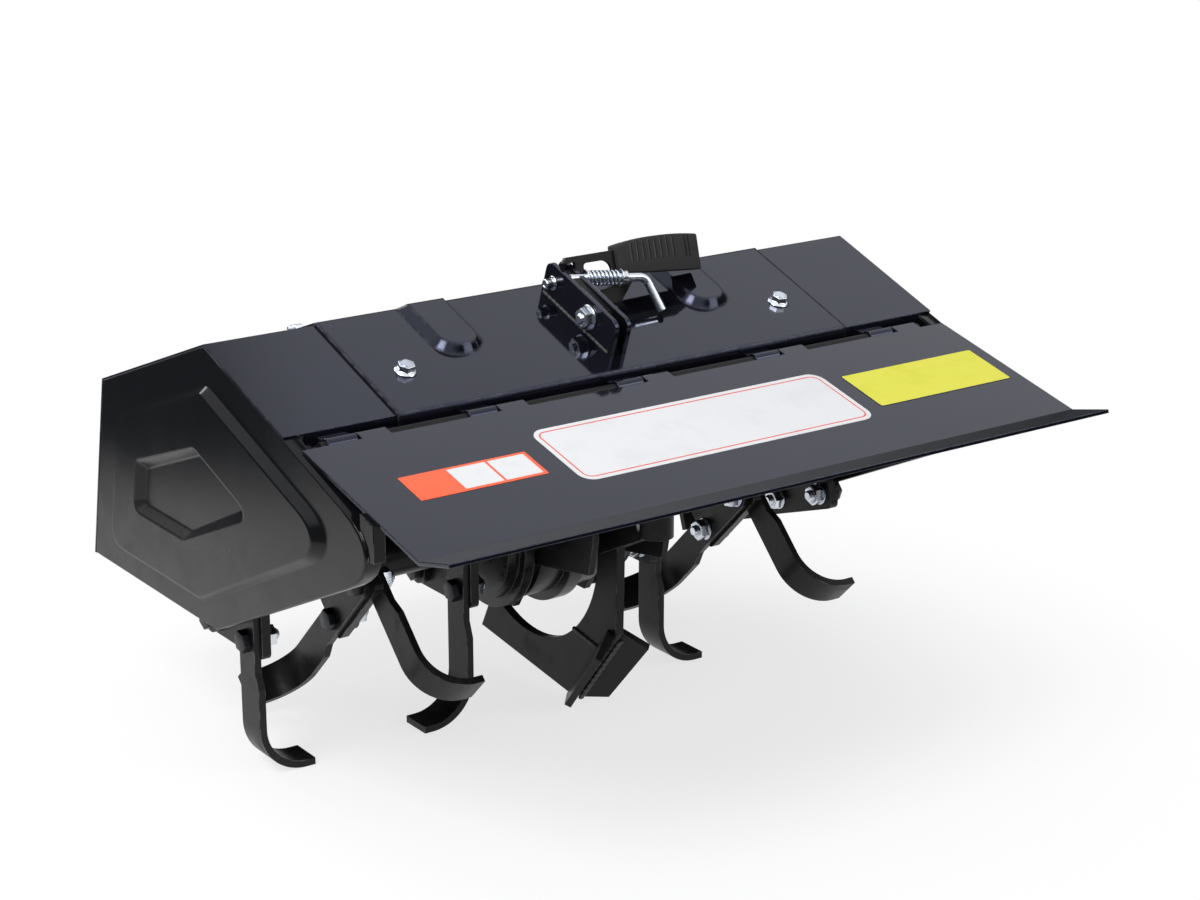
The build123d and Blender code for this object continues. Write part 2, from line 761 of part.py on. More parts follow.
# ---------------------------------------------------------------- every piece
save("hood_centre", hood_centre())
wing = hood_wing()
save("hood_wing_left", wing)
save("hood_wing_right", mirrored(wing))
panel = side_panel()
save("side_panel_left", panel)
save("side_panel_right", mirrored(panel))
save("hinge_knuckles", hinge_knuckles())
save("hinge_rod", hinge_rod())
save("flap", flap())

save("gear_case", gear_case())
left_hub = hub()
save("hub_left", left_hub)
save("hub_right", mirrored(left_hub))
save("input_flange", input_flange())
save("input_shaft", input_shaft())
save("hood_stand", hood_stand())

save("rotor_shaft", bar(shaft_radius, -shaft_half_length, shaft_half_length))
tube = rotor_tube()
save("rotor_tube_left", tube)
save("rotor_tube_right", mirrored(tube))
for side, label in ((-1, "left"), (1, "right")):
    own = [plate for plate in PLATES if plate["side"] == side]
    save(f"flanges_{label}", together([flange_plate(plate) for plate in own]))
for plate in PLATES:
    save(f"tines_{plate['name']}", tines(plate))

save("shank", shank())
save("skid_runner", skid_runner())
save("share", share())
save("coulter_socket", coulter_socket())

save("latch_ears", latch_ears())
save("latch_pins", latch_pins())
save("lever_plate", lever_plate())
save("lever_grip", lever_grip())
save("lever_spring", lever_spring())
save("lever_rod", lever_rod())
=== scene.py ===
import json
import math

import bmesh
import bpy
from bpy.props import FloatProperty, FloatVectorProperty, IntProperty, PointerProperty
from bpy.types import Operator, Panel, PropertyGroup
from mathutils import Matrix, Vector


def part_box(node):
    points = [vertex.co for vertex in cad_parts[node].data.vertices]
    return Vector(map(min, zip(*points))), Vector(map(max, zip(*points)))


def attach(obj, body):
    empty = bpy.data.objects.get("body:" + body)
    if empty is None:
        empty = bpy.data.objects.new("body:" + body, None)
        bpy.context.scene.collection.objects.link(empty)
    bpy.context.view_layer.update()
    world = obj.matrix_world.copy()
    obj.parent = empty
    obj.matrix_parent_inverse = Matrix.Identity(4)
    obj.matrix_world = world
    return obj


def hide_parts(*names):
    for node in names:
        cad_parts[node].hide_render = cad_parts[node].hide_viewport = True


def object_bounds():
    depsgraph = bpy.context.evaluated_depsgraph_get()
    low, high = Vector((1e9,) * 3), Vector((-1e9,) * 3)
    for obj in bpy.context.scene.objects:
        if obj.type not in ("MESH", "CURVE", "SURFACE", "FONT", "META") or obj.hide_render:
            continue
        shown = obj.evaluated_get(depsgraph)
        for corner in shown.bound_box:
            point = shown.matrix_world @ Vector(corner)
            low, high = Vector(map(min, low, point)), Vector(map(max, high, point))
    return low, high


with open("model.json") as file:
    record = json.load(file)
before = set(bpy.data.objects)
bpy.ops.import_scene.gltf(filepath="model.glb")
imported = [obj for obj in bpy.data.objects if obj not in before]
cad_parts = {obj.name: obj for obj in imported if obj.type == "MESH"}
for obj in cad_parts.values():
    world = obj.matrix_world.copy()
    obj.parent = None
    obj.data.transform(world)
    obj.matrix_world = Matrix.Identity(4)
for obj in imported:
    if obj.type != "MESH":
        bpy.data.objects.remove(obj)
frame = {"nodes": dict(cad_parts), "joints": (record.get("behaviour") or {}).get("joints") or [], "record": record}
CAD_LOW, CAD_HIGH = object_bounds()

bl_info = {
    "name": "Rotavator Finish",
    "version": (1, 0, 0),
    "blender": (4, 5, 0),
    "location": "3D View > Sidebar > Rotavator",
    "description": "Paints the rotavator, fits its bolts, welds, stickers and grip, and sets up its studio",
    "category": "Object",
}

# ---------------- places that the frame gives
JOINTS = {joint["name"]: joint for joint in frame["joints"]}
AXIS = Vector(JOINTS["rotor_spin"]["pos_m"])
HINGE = Vector(JOINTS["flap_hinge"]["pos_m"])
MM = 0.001
TINY = 1e-6
CLOSE = 1e-5

# The hood, measured from the rotor's axis as the model was laid out: y forwards, z up.
REAR_SLOPE = math.radians(19.4)
FRONT_SLOPE = math.radians(20.8)
FLAP_SLOPE = math.radians(13.5)
RIDGE_Y = -19.0 * MM
RIDGE_Z = 214.5 * MM
SHEET = 2.0 * MM
FLAP_TOP = 6.0 * MM

# The latch's two cross pins, and the ears that carry them.
UPPER_PIN = (-43.0 * MM, 223.0 * MM)
LOWER_PIN = (-95.0 * MM, 205.0 * MM)
EAR_LEFT = -10.0 * MM
EAR_RIGHT = 6.0 * MM
EAR_FRONT_Y = -26.0 * MM
EAR_REAR_Y = -124.0 * MM

# The locking pin, from its inner end to its elbow, and the spring's ends along it.
ROD_ROOT = (-5.0 * MM, -60.0 * MM, 229.5 * MM)
ROD_ELBOW = (64.0 * MM, -71.0 * MM, 223.5 * MM)
SPRING_START = 15.0 * MM
SPRING_END = 46.0 * MM

# The grip: the plane of its tang, which leans forwards, and the outline of the sleeve in it.
GRIP_ORIGIN = (0.0, -47.0 * MM, 244.0 * MM)
GRIP_LEAN = math.radians(15.0)
GRIP_LEFT = 47.0 * MM
GRIP_RIGHT = 131.0 * MM
GRIP_LEFT_SPAN = (-20.5 * MM, 3.5 * MM)
GRIP_RIGHT_SPAN = (-28.0 * MM, 2.5 * MM)
GRIP_THICKNESS = 14.5 * MM

# One row per flange plate: side of the machine, distance from the middle, turn of the plate in
# degrees, and whether tines lie on both of its faces or only on the one away from the gear case.
PLATES = [
    (-1, 290.0 * MM, 0.0, False), (-1, 195.0 * MM, 45.0, True), (-1, 93.0 * MM, 0.0, False),
    (1, 93.0 * MM, 0.0, False), (1, 195.0 * MM, 45.0, True), (1, 290.0 * MM, -19.3, False),
]
PLATE_HALF_THICKNESS = 4.0 * MM
TINE_THICKNESS = 6.0 * MM
BOLT_OFFSET = 31.0 * MM


def from_axis(x, y, z):
    """A point given from the rotor's axis, in the scene."""
    return AXIS + Vector((x, y, z))


def frame_half_width():
    """From the middle of the machine to the outside of an end panel."""
    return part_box("side_panel_right")[1][0]


def on_rear_slope(x, y, lift=SHEET):
    """A point on the hood's rear slope, raised square to it."""
    z = RIDGE_Z + (y - RIDGE_Y) * math.tan(REAR_SLOPE) + lift / math.cos(REAR_SLOPE)
    return from_axis(x, y, z)


def on_front_slope(x, y, lift=SHEET):
    """A point on the hood's front slope, raised square to it."""
    z = RIDGE_Z - (y - RIDGE_Y) * math.tan(FRONT_SLOPE) + lift / math.cos(FRONT_SLOPE)
    return from_axis(x, y, z)


REAR_NORMAL = Vector((0, -math.sin(REAR_SLOPE), math.cos(REAR_SLOPE)))
FRONT_NORMAL = Vector((0, math.sin(FRONT_SLOPE), math.cos(FRONT_SLOPE)))
FLAP_NORMAL = Vector((0, -math.sin(FLAP_SLOPE), math.cos(FLAP_SLOPE)))
FLAP_BACK = Vector((0, -math.cos(FLAP_SLOPE), -math.sin(FLAP_SLOPE)))


# ---------------- shader helpers
def fill(socket, value):
    """Feeds a socket: another socket is linked, a value is set, and a colour gets its alpha."""
    if isinstance(value, bpy.types.NodeSocket):
        socket.id_data.links.new(value, socket)
    elif socket.type == "RGBA":
        socket.default_value = (*value, 1.0)
    else:
        socket.default_value = value


def add(tree, kind, inputs=None, **settings):
    """A shader node with its settings and its inputs."""
    node = tree.nodes.new(kind)
    for name, value in settings.items():
        setattr(node, name, value)
    for name, value in (inputs or {}).items():
        fill(node.inputs[name], value)
    return node


def math_node(tree, operation, first, second, clamp=False):
    node = add(tree, "ShaderNodeMath", {0: first, 1: second}, operation=operation, use_clamp=clamp)
    return node.outputs[0]


def vector_math(tree, operation, *vectors):
    return add(tree, "ShaderNodeVectorMath", dict(enumerate(vectors)), operation=operation).outputs["Value"]


def times(tree, first, second, clamp=False):
    return math_node(tree, "MULTIPLY", first, second, clamp)


def ramp(tree, value, low, high, smooth=False):
    """The value as a mask: 0 at low and 1 at high."""
    kind = "SMOOTHSTEP" if smooth else "LINEAR"
    wanted = {"Value": value, "From Min": low, "From Max": high}
    return add(tree, "ShaderNodeMapRange", wanted, interpolation_type=kind).outputs["Result"]


def mix_colour(tree, factor, first, second):
    return add(tree, "ShaderNodeMix", {0: factor, 6: first, 7: second}, data_type="RGBA").outputs[2]


def mix_value(tree, factor, first, second):
    return add(tree, "ShaderNodeMix", {0: factor, 2: first, 3: second}, data_type="FLOAT").outputs[0]


def dab(tree, tone, mask, share, colour):
    """The tone, with a share of another colour where the mask is."""
    return mix_colour(tree, times(tree, mask, share), tone, colour)


def object_coordinates(tree, scale=(1.0, 1.0, 1.0)):
    """The piece's own coordinates in metres, stretched along each axis."""
    place = add(tree, "ShaderNodeTexCoord").outputs["Object"]
    return add(tree, "ShaderNodeMapping", {"Vector": place, "Scale": scale}).outputs["Vector"]


def noise(tree, scale, detail, roughness=0.5, distortion=0.0, stretch=(1.0, 1.0, 1.0)):
    wanted = {"Vector": object_coordinates(tree, stretch), "Scale": scale, "Detail": detail,
              "Roughness": roughness, "Distortion": distortion}
    return add(tree, "ShaderNodeTexNoise", wanted).outputs["Fac"]


def cells(tree, scale, feature):
    wanted = {"Vector": object_coordinates(tree), "Scale": scale}
    return add(tree, "ShaderNodeTexVoronoi", wanted, feature=feature).outputs["Distance"]


def separate(tree, vector):
    return add(tree, "ShaderNodeSeparateXYZ", {0: vector}).outputs


def light_paths(tree):
    """What the camera sees itself, and what is mirrored or seen through glass."""
    paths = add(tree, "ShaderNodeLightPath").outputs
    mirrored = math_node(tree, "MAXIMUM", paths["Is Glossy Ray"], paths["Is Transmission Ray"])
    return paths["Is Camera Ray"], mirrored


def new_group(name, inputs, *outputs):
    """An empty shader group, from its inputs' names with defaults and its outputs' names."""
    tree = bpy.data.node_groups.new(name, "ShaderNodeTree")
    for label, default in inputs.items():
        socket = tree.interface.new_socket(name=label, in_out="INPUT", socket_type="NodeSocketFloat")
        socket.default_value = default
    for label in outputs:
        kind = "NodeSocketVector" if label == "Normal" else "NodeSocketFloat"
        tree.interface.new_socket(name=label, in_out="OUTPUT", socket_type=kind)
    start = tree.nodes.new("NodeGroupInput")
    end = tree.nodes.new("NodeGroupOutput")
    return tree, start.outputs, end.inputs


def put_out(found, **sources):
    """Links a group's results to its outputs."""
    for label, source in sources.items():
        fill(found[label], source)


def place_group(tree, name, **values):
    """A shared effect placed in a material, with its own values."""
    node = add(tree, "ShaderNodeGroup", node_tree=bpy.data.node_groups[name])
    for label, value in values.items():
        node.inputs[label.replace("_", " ").capitalize()].default_value = value
    return node.outputs


# ---------------- shared effects
def build_edge_group():
    """Soft edges that catch the light, and a mask of where their paint has worn through."""
    sizes = {"Radius": 0.0008, "Gain": 6.0, "Breakup": 160.0}
    tree, given, found = new_group("Worn Edges", sizes, "Mask", "Normal")
    rounded = add(tree, "ShaderNodeBevel", {"Radius": given["Radius"]}, samples=6).outputs["Normal"]
    flat = add(tree, "ShaderNodeNewGeometry").outputs["Normal"]
    match = vector_math(tree, "DOT_PRODUCT", rounded, flat)
    bend = times(tree, math_node(tree, "SUBTRACT", 1.0, match), given["Gain"])
    patches = ramp(tree, noise(tree, given["Breakup"], detail=3.0), 0.46, 0.62)
    put_out(found, Mask=times(tree, bend, patches, clamp=True), Normal=rounded)


def build_film_group():
    """A sprayed paint film: orange peel, smears that change the gloss, and settled dust."""
    sizes = {"Peel scale": 420.0, "Smear scale": 9.0, "Speck scale": 900.0}
    tree, given, found = new_group("Paint Film", sizes, "Height", "Smear", "Dust")
    peel = noise(tree, given["Peel scale"], detail=1.0)
    long_wave = times(tree, noise(tree, 55.0, detail=1.0), 1.5)
    smear = noise(tree, given["Smear scale"], detail=5.0, roughness=0.6, distortion=0.4,
                  stretch=(1.0, 2.6, 2.6))
    specks = ramp(tree, noise(tree, given["Speck scale"], detail=1.0), 0.72, 0.78)
    up = separate(tree, add(tree, "ShaderNodeNewGeometry").outputs["Normal"])["Z"]
    put_out(found, Height=math_node(tree, "ADD", peel, long_wave), Smear=ramp(tree, smear, 0.35, 0.75, True),
            Dust=times(tree, specks, ramp(tree, up, 0.2, 0.9)))


def build_forged_group():
    """The skin of a forged and dipped bar: scale pits, runs in the dip and earthy scuffs."""
    sizes = {"Scale size": 130.0, "Scuff size": 28.0}
    tree, given, found = new_group("Forged Skin", sizes, "Height", "Scuff", "Pits")
    coarse = noise(tree, given["Scale size"], detail=4.0, roughness=0.65)
    pitted = ramp(tree, cells(tree, 520.0, "F1"), 0.28, 0.1)
    scuff = noise(tree, given["Scuff size"], detail=6.0, roughness=0.7, distortion=0.8)
    put_out(found, Height=math_node(tree, "SUBTRACT", coarse, times(tree, pitted, 0.35)),
            Scuff=ramp(tree, scuff, 0.5, 0.72, True), Pits=pitted)


def build_scratch_group():
    """Fine scratches that run mostly one way."""
    tree, given, found = new_group("Fine Scratches", {"Density": 60.0}, "Mask")
    lines = noise(tree, given["Density"], detail=3.0, roughness=0.6, distortion=0.15,
                  stretch=(0.5, 14.0, 9.0))
    gaps = ramp(tree, noise(tree, 14.0, detail=3.0), 0.52, 0.66)
    put_out(found, Mask=times(tree, ramp(tree, lines, 0.66, 0.72), gaps))


def build_low_reflection_group():
    """A mask that grows towards the ground, for a painted reflection of the pale floor low on a surface."""
    heights = {"Clear height": 0.33, "Thick height": 0.13}
    tree, given, found = new_group("Low Dust", heights, "Mask")
    cloud = times(tree, noise(tree, 7.0, detail=4.0), 0.09)
    level = math_node(tree, "ADD", separate(tree, object_coordinates(tree))["Z"], cloud)
    put_out(found, Mask=ramp(tree, level, given["Clear height"], given["Thick height"], True))


# ---------------- materials
# Bare steel where the paint is worn through; on the end panels it is also a painted highlight along the edges.
BARE_STEEL_AND_HIGHLIGHT = (0.32, 0.31, 0.30)
DUST_GREY = (0.20, 0.19, 0.175)
EARTH_BROWN = (0.05, 0.038, 0.03)
PIT_BLACK = (0.006, 0.006, 0.006)
ENAMEL_SMEAR = (0.014, 0.0135, 0.013)
PASSIVATE = (0.82, 0.88, 0.97)
SHAFT_STAIN = (0.16, 0.12, 0.09)
RUBBER_BLOOM = (0.010, 0.010, 0.011)
# A painted highlight: paler grey along the grip's rib edges.
RIB_HIGHLIGHT_GREY = (0.22, 0.22, 0.22)
PURE_WHITE = (1.0, 1.0, 1.0)
BEYOND_TABLE = (0.06, 0.065, 0.075)


def new_material(name, display):
    """An empty material with a Principled shader: its tree and that shader."""
    material = bpy.data.materials.new(name)
    material.use_nodes = True
    material.diffuse_color = (*display, 1.0)
    tree = material.node_tree
    tree.nodes.clear()
    shader = tree.nodes.new("ShaderNodeBsdfPrincipled")
    add(tree, "ShaderNodeOutputMaterial", {"Surface": shader.outputs["BSDF"]})
    return tree, shader


def drive(shader, **sources):
    """Links or sets the shader's sockets: base_color=..., roughness=... and so on."""
    for label, value in sources.items():
        name = "Specular IOR Level" if label == "specular" else label.replace("_", " ").title()
        fill(shader.inputs[name], value)


def bump(tree, height, strength, distance, normal=None):
    wanted = {"Height": height, "Strength": strength, "Distance": distance}
    if normal is not None:
        wanted["Normal"] = normal
    return add(tree, "ShaderNodeBump", wanted).outputs["Normal"]


def scaled(colour, *shares):
    """A colour with each channel times its own share, or all times one."""
    return [channel * share for channel, share in zip(colour, shares if len(shares) > 1 else shares * 3)]


def gloss_paint(name, colour, sheen, roughness, edge):
    """Stoved gloss black on pressed sheet, with a cool cast in what it mirrors."""
    tree, shader = new_material(name, colour)
    edges = place_group(tree, "Worn Edges", radius=edge, gain=3.0, breakup=120.0)
    film = place_group(tree, "Paint Film", peel_scale=380.0, smear_scale=7.0)
    scratch = place_group(tree, "Fine Scratches", density=50.0)["Mask"]
    tone = mix_colour(tree, film["Smear"], colour, scaled(colour, 1.6))
    tone = dab(tree, tone, scratch, 0.025, DUST_GREY)
    tone = dab(tree, tone, film["Dust"], 0.05, DUST_GREY)
    gloss = mix_value(tree, film["Smear"], roughness, roughness + 0.035)
    tone = dab(tree, tone, edges["Mask"], 0.22, BARE_STEEL_AND_HIGHLIGHT)
    drive(shader, base_color=tone, specular=0.57, specular_tint=sheen,
          roughness=math_node(tree, "ADD", gloss, times(tree, scratch, 0.06)),
          normal=bump(tree, film["Height"], strength=0.03, distance=0.0004, normal=edges["Normal"]))


def satin_panel_paint(name, colour, low_reflection, roughness):
    """Duller black on the deep pressed end panels, painted paler low down as a painted reflection of the pale
    floor.
    """
    tree, shader = new_material(name, colour)
    edges = place_group(tree, "Worn Edges", radius=0.0012, gain=8.0, breakup=90.0)
    film = place_group(tree, "Paint Film", peel_scale=520.0, smear_scale=12.0)
    low = place_group(tree, "Low Dust", clear_height=0.30, thick_height=0.20)["Mask"]
    scratch = place_group(tree, "Fine Scratches", density=80.0)["Mask"]
    # Painted reflection: the base colour fades to the paler low tone towards the ground, standing in for the floor
    # that the panels mirror; the same mask also dulls the paint.
    tone = dab(tree, mix_colour(tree, low, colour, low_reflection), film["Smear"], 0.35, colour)
    tone = dab(tree, tone, scratch, 0.06, DUST_GREY)
    dull = mix_value(tree, low, roughness - 0.08, roughness + 0.06)
    # The edges' bare steel here is partly wear and partly a painted hairline highlight.
    drive(shader, base_color=dab(tree, tone, edges["Mask"], 0.3, BARE_STEEL_AND_HIGHLIGHT), specular=0.25,
          roughness=mix_value(tree, film["Smear"], dull, math_node(tree, "ADD", dull, 0.06)),
          normal=bump(tree, film["Height"], strength=0.06, distance=0.0004, normal=edges["Normal"]))


def forged_paint(name, colour, roughness, wear, gleam):
    """Thin black dip over forged steel, scuffed to metal along the edges."""
    tree, shader = new_material(name, colour)
    edges = place_group(tree, "Worn Edges", radius=0.0009, gain=7.0, breakup=70.0)
    skin = place_group(tree, "Forged Skin", scale_size=120.0, scuff_size=26.0)
    tone = dab(tree, colour, skin["Scuff"], 0.3, EARTH_BROWN)
    tone = dab(tree, tone, skin["Pits"], 0.35, PIT_BLACK)
    worn = times(tree, edges["Mask"], wear)
    dull = mix_value(tree, skin["Scuff"], roughness, roughness + 0.2)
    drive(shader, base_color=mix_colour(tree, worn, tone, BARE_STEEL_AND_HIGHLIGHT), metallic=times(tree, worn, 0.8),
          roughness=mix_value(tree, worn, dull, 0.35), specular=gleam,
          normal=bump(tree, skin["Height"], strength=0.3, distance=0.0004, normal=edges["Normal"]))


def cast_paint(name, colour):
    """Black enamel over a sand casting."""
    tree, shader = new_material(name, colour)
    edges = place_group(tree, "Worn Edges", radius=0.0018, gain=4.0, breakup=60.0)
    film = place_group(tree, "Paint Film", peel_scale=700.0, smear_scale=16.0)
    grain = noise(tree, 420.0, detail=4.0, roughness=0.6)
    tone = mix_colour(tree, film["Smear"], colour, ENAMEL_SMEAR)
    drive(shader, base_color=dab(tree, tone, edges["Mask"], 0.3, BARE_STEEL_AND_HIGHLIGHT), specular=0.35,
          roughness=mix_value(tree, film["Smear"], 0.26, 0.42),
          normal=bump(tree, grain, strength=0.35, distance=0.0005, normal=edges["Normal"]))


def plated_steel(name, colour, roughness):
    """Zinc plate: bright, slightly clouded, with a faint blue passivate."""
    tree, shader = new_material(name, colour)
    edges = place_group(tree, "Worn Edges", radius=0.0005, gain=2.0, breakup=200.0)
    cloud = noise(tree, 90.0, detail=3.0)
    grain = noise(tree, 1400.0, detail=2.0)
    tone = mix_colour(tree, ramp(tree, cloud, 0.35, 0.65), colour, scaled(colour, *PASSIVATE))
    drive(shader, base_color=tone, metallic=1.0,
          roughness=mix_value(tree, cloud, roughness - 0.06, roughness + 0.1),
          normal=bump(tree, grain, strength=0.08, distance=0.0002, normal=edges["Normal"]))


def ground_steel(name, colour, roughness):
    """Turned or ground steel, with fine tool lines around X."""
    tree, shader = new_material(name, colour)
    edges = place_group(tree, "Worn Edges", radius=0.0006, gain=2.0, breakup=200.0)
    lines = noise(tree, 2600.0, detail=2.0, stretch=(1.0, 0.02, 0.02))
    stain = noise(tree, 40.0, detail=4.0, roughness=0.6)
    tone = mix_colour(tree, ramp(tree, stain, 0.5, 0.75), colour, SHAFT_STAIN)
    drive(shader, base_color=tone, metallic=1.0, roughness=mix_value(tree, stain, roughness, roughness + 0.2),
          normal=bump(tree, lines, strength=0.1, distance=0.0002, normal=edges["Normal"]))


def moulded_rubber(name, colour, gleam):
    """Black grip rubber with a pebbled skin, painted paler along its edges as a painted highlight on the ribs."""
    tree, shader = new_material(name, colour)
    edges = place_group(tree, "Worn Edges", radius=0.0008, gain=5.0, breakup=240.0)
    pebbles = cells(tree, 1500.0, "SMOOTH_F1")
    bloom = ramp(tree, noise(tree, 60.0, detail=5.0, roughness=0.6), 0.4, 0.75)
    tone = dab(tree, colour, bloom, 0.5, RUBBER_BLOOM)
    # The edges' paler grey is a painted highlight along the ribs.
    drive(shader, base_color=dab(tree, tone, edges["Mask"], 0.6, RIB_HIGHLIGHT_GREY), specular=gleam,
          roughness=mix_value(tree, bloom, 0.36, 0.5),
          normal=bump(tree, pebbles, strength=0.25, distance=0.0002, normal=edges["Normal"]))


def weld_steel(name, colour, bright):
    """A weld bead painted over, its ripples rubbed bright here and there."""
    tree, shader = new_material(name, colour)
    burnt = noise(tree, 150.0, detail=5.0, roughness=0.7)
    drive(shader, base_color=mix_colour(tree, ramp(tree, burnt, 0.45, 0.7), colour, bright),
          metallic=times(tree, ramp(tree, burnt, 0.5, 0.7), 0.6),
          roughness=mix_value(tree, burnt, 0.3, 0.6), normal=bump(tree, burnt, strength=0.4, distance=0.0004))


def sticker_film(name, colour, shade):
    """Printed vinyl: a thin gloss film with faint stains."""
    tree, shader = new_material(name, colour)
    stain = ramp(tree, noise(tree, 34.0, detail=5.0, roughness=0.65), 0.5, 0.8)
    fibre = noise(tree, 260.0, detail=3.0, stretch=(1.0, 7.0, 7.0))
    drive(shader, base_color=dab(tree, colour, stain, 0.6, scaled(colour, shade)),
          roughness=mix_value(tree, stain, 0.3, 0.45),
          normal=bump(tree, fibre, strength=0.06, distance=0.0002))


def floor_finish(name, colour, glow, clearing, table_end):
    """A pale studio floor that keeps the shadow near the machine and fades to plain white further out."""
    tree, shader = new_material(name, colour)
    tone = mix_colour(tree, noise(tree, 1.3, detail=2.0), colour, scaled(colour, 0.985))
    drive(shader, base_color=tone, roughness=0.7, specular=0.1)
    camera, mirrored = light_paths(tree)
    away = vector_math(tree, "LENGTH", object_coordinates(tree))
    # The pale table ends, as far as what is mirrored goes.
    dark = times(tree, mirrored, ramp(tree, away, *table_end, True))
    shown = mix_colour(tree, dark, PURE_WHITE, BEYOND_TABLE)
    lit = add(tree, "ShaderNodeEmission", {"Color": shown, "Strength": 1.0})
    fade = mix_value(tree, ramp(tree, away, *clearing, True), glow, 1.0)
    share = times(tree, math_node(tree, "MAXIMUM", camera, mirrored), fade)
    mixed = add(tree, "ShaderNodeMixShader", {0: share, 1: shader.outputs[0], 2: lit.outputs[0]})
    end = next(node for node in tree.nodes if node.type == "OUTPUT_MATERIAL")
    fill(end.inputs["Surface"], mixed.outputs[0])


# ---------------- mesh helpers
def facing(point, direction, turn=0.0):
    """Places a shape that stands on +Z at a point, standing along the direction."""
    lean = Vector(direction).to_track_quat("Z", "Y").to_matrix().to_4x4()
    return Matrix.Translation(point) @ lean @ Matrix.Rotation(turn, 4, "Z")


def since(bm, before):
    """The vertices made since an earlier set of them was taken."""
    return [vert for vert in bm.verts if vert not in before]


def ease(bm, geometry, reach, segments, affect="EDGES", clamp=False):
    """Rounds edges, or the corners of a face."""
    bmesh.ops.bevel(bm, geom=geometry, offset=reach, offset_type="OFFSET", segments=segments, profile=0.5,
                    affect=affect, material=-1, clamp_overlap=clamp)


def turned(bm, place, profile, segments):
    """A turned shape: its profile of (radius, height) points is spun round the place's own Z."""
    before = set(bm.verts)
    points = [bm.verts.new((radius, 0.0, height)) for radius, height in profile]
    edges = [bm.edges.new(pair) for pair in zip(points, points[1:])]
    bmesh.ops.spin(bm, geom=points + edges, cent=(0, 0, 0), axis=(0, 0, 1), angle=math.tau, steps=segments,
                   use_merge=True, use_duplicate=False)
    bmesh.ops.remove_doubles(bm, verts=since(bm, before), dist=TINY)
    settle(bm, since(bm, before), place)


def settle(bm, made, place):
    """Turns the new faces outwards and moves the new shape to its place."""
    faces = list({face for vert in made for face in vert.link_faces})
    bmesh.ops.recalc_face_normals(bm, faces=faces)
    bmesh.ops.transform(bm, matrix=place, verts=made)


def hexagon(bm, place, across, base, height, bore=0.0):
    """A hexagonal head, or a nut if it has a bore, with its outer corners eased."""
    before = set(bm.verts)
    radius = across / math.sqrt(3)
    lift = Matrix.Translation((0, 0, base + height / 2))
    bmesh.ops.create_cone(bm, cap_ends=True, segments=6, radius1=radius, radius2=radius, depth=height,
                          matrix=lift)
    made = since(bm, before)
    high = base + height * 0.9
    rim = [edge for edge in bm.edges if all(vert in made and vert.co.z > high for vert in edge.verts)]
    ease(bm, rim, across * 0.06, 2)
    if bore:
        own = [face for face in bm.faces if not before.intersection(face.verts)]
        top = max(own, key=lambda face: (round(face.normal.z, 3), face.calc_center_median().z))
        bmesh.ops.inset_region(bm, faces=[top], thickness=radius * 0.8 - bore, depth=0.0)
        bmesh.ops.inset_region(bm, faces=[top], thickness=bore * 0.12, depth=-height * 0.1)
    settle(bm, since(bm, before), place)


def washer(bm, place, radius, thickness):
    rim = [(0.96, 0.0), (1.0, 0.25), (1.0, 0.7), (0.95, 1.0)]
    profile = [(radius * out, thickness * up) for out, up in rim]
    turned(bm, place, [(0, 0), *profile, (0, thickness)], 36)


def thread_end(bm, place, radius, base, length):
    """The threaded end of a bolt, with a chamfered tip."""
    pitch = 0.0015
    root = radius * 0.86
    turns = int(length / pitch)
    profile = [(0, base - pitch)]
    for number in range(turns):
        height = base + number * pitch
        profile += [(root, height), (radius, height + pitch * 0.4), (radius, height + pitch * 0.6)]
    tip = base + turns * pitch
    profile += [(root, tip), (radius * 0.72, tip + pitch * 0.7), (0, tip + pitch * 0.7)]
    turned(bm, place, profile, 24)


def flange_bolt(bm, place, across):
    """A hexagon head on a domed washer flange, with a sunk top."""
    skirt = across * 0.72
    flange = [(0, 0), (skirt, 0), (skirt * 1.02, across * 0.05), (skirt * 0.98, across * 0.1),
              (across * 0.5, across * 0.2), (0, across * 0.2)]
    turned(bm, place, flange, 40)
    hexagon(bm, place, across, across * 0.16, across * 0.42)
    crown = [(0, 0.57), (0.3, 0.575), (0.42, 0.6), (0.36, 0.615), (0.28, 0.59), (0, 0.585)]
    turned(bm, place, [(across * out, across * up) for out, up in crown], 24)


# A weld bead's drops: their spacing, half sizes along, across and up, how far they stray and how
# much they swell, all as shares of the bead's width, and how far they lean over.
BEAD_PITCH = 0.42
BEAD_DROP = (0.46, 0.55, 0.36)
BEAD_WOBBLE = 0.06
BEAD_SWELL = 0.16
BEAD_LEAN = math.radians(22)


def bead(bm, start, end, outwards, width, seed):
    """A hand-laid weld bead: overlapping flattened drops that lean along the run."""
    run = end - start
    pitch = width * BEAD_PITCH
    count = max(2, round(run.length / pitch))
    along = run.normalized()
    across = along.cross(outwards).normalized()
    up = across.cross(along).normalized()
    basis = Matrix((along, across, up)).transposed().to_4x4()
    for number in range(count + 1):
        wobble = math.sin(number * 2.4 + seed) * BEAD_WOBBLE
        swell = 1.0 + BEAD_SWELL * math.sin(number * 1.7 + seed * 3)
        place = start + run * (number / count) + across * width * wobble
        squash = Matrix.Diagonal((*(width * size * swell for size in BEAD_DROP), 1.0))
        lean = Matrix.Rotation(BEAD_LEAN, 4, "Y")
        bmesh.ops.create_uvsphere(bm, u_segments=12, v_segments=7, radius=1.0,
                                  matrix=Matrix.Translation(place) @ basis @ lean @ squash)


